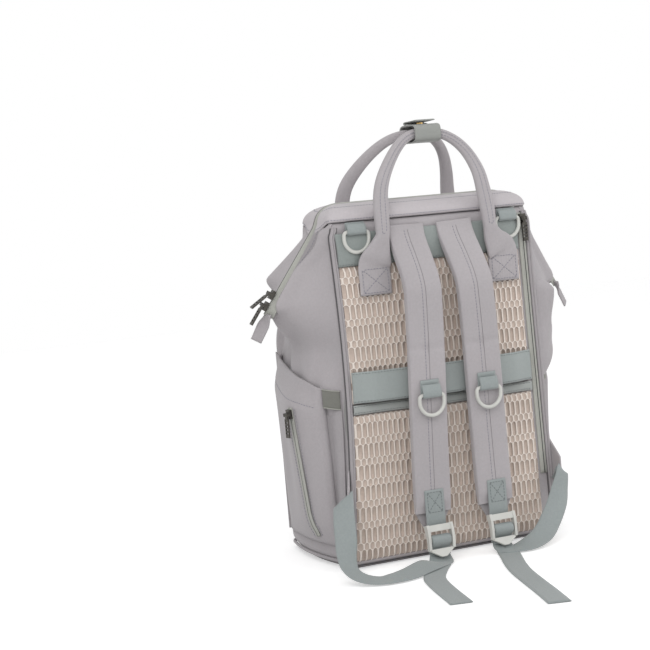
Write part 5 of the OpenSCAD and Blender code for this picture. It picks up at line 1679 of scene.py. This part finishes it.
def floor_material():
    """Pale floor that is white to the eye where nothing shades it, and keeps the shadow."""
    material, tree, principled = shader("studio_floor", 0.9, [("Base Color", (0.8, 0.8, 0.8, 1))])
    strength = maths(tree, "MULTIPLY", seen_directly(tree), FLOOR_GLOW)
    glow = add_node(tree, "ShaderNodeEmission", [("Color", WHITE), ("Strength", strength)])
    shaders = [(0, principled.outputs["BSDF"]), (1, glow.outputs["Emission"])]
    total = add_node(tree, "ShaderNodeAddShader", shaders)
    output = next(n for n in tree.nodes if n.type == "OUTPUT_MATERIAL")
    tree.links.new(total.outputs["Shader"], output.inputs["Surface"])
    return material


def floor():
    corners = [[x * FLOOR_HALF, y * FLOOR_HALF, FLOOR_Z] for x, y in ((-1, -1), (1, -1), (1, 1), (-1, 1))]
    new_object("studio_floor", corners, [(0, 1, 2, 3)], [floor_material()])


def world_light():
    world = bpy.data.worlds.new("studio_world")
    world.use_nodes = True
    tree = world.node_tree
    background = tree.nodes["Background"]
    background.inputs["Color"].default_value = WHITE
    levels = [("Value", seen_directly(tree)), ("To Min", 0.62), ("To Max", 1.0)]
    strength = add_node(tree, "ShaderNodeMapRange", levels)
    tree.links.new(strength.outputs["Result"], background.inputs["Strength"])
    bpy.context.scene.world = world


LAMP_TARGET = (0, 0, 0.22)


def lamp(name, place, size, power):
    data = bpy.data.lights.new(name, "AREA")
    data.size = size
    data.energy = power
    obj = bpy.data.objects.new(name, data)
    obj.location = place
    obj.rotation_euler = (Vector(LAMP_TARGET) - Vector(place)).to_track_quat("-Z", "Y").to_euler()
    bpy.context.scene.collection.objects.link(obj)


CAMERA_PLACE = np.array([-913.9, -1818.1, 421.4])
CAMERA_TARGET = np.array([-145.4, -92.0, 285.7])
CAMERA_ROLL = np.radians(5.02)
FOCAL_PX, SENSOR = 1667.0, 36.0


def camera():
    forward = unit(CAMERA_TARGET - CAMERA_PLACE)
    right = unit(np.cross(forward, [0, 0, 1]))
    up = np.cross(right, forward)
    x = np.cos(CAMERA_ROLL) * right - np.sin(CAMERA_ROLL) * up
    y = np.sin(CAMERA_ROLL) * right + np.cos(CAMERA_ROLL) * up
    data = bpy.data.cameras.new("photo_camera")
    data.sensor_width = SENSOR
    data.lens = FOCAL_PX * SENSOR / IMAGE_PX
    obj = bpy.data.objects.new("photo_camera", data)
    turn = Matrix(np.column_stack([x, y, -forward]).tolist()).to_4x4()
    obj.matrix_world = Matrix.Translation(CAMERA_PLACE * MM) @ turn
    bpy.context.scene.collection.objects.link(obj)
    bpy.context.scene.camera = obj


def dress():
    back_panel()
    front_panel()
    base_panel()
    for front in (False, True):
        rim(front)
        handle(front)
    main_zip()
    zip_end_tabs()
    back_zip()
    hardware()
    mesh_pad("upper_air_mesh", BAND_Z + 1, TOP_BAND_Z - 0.5, "mesh_upper")
    mesh_pad("lower_air_mesh", MESH_FOOT, BAND_Z - BINDING_H - 1.5, "mesh_lower")
    back_bands()
    pipings()
    pocket_zip()
    front_pocket()
    front_zip()
    handle_wrap()
    wrap_flap()
    top_loops()
    for side, flip in (("left", -1), ("right", 1)):
        side_panel(side, flip)
        slant_strip(side, flip)
        side_pocket(side, flip)
        strap(side)
        strap_loop(side)
        lock_tab(side)
        webbing(side)
        corner_tab(side, flip)
    inner_finishes()


def studio():
    floor()
    world_light()
    lamp("key", (-1.2, -1.8, 1.9), 1.6, 26)
    lamp("fill", (1.6, -1.2, 1.2), 1.6, 10)
    bpy.context.scene.view_settings.view_transform = "Standard"


camera()
dress()
studio()
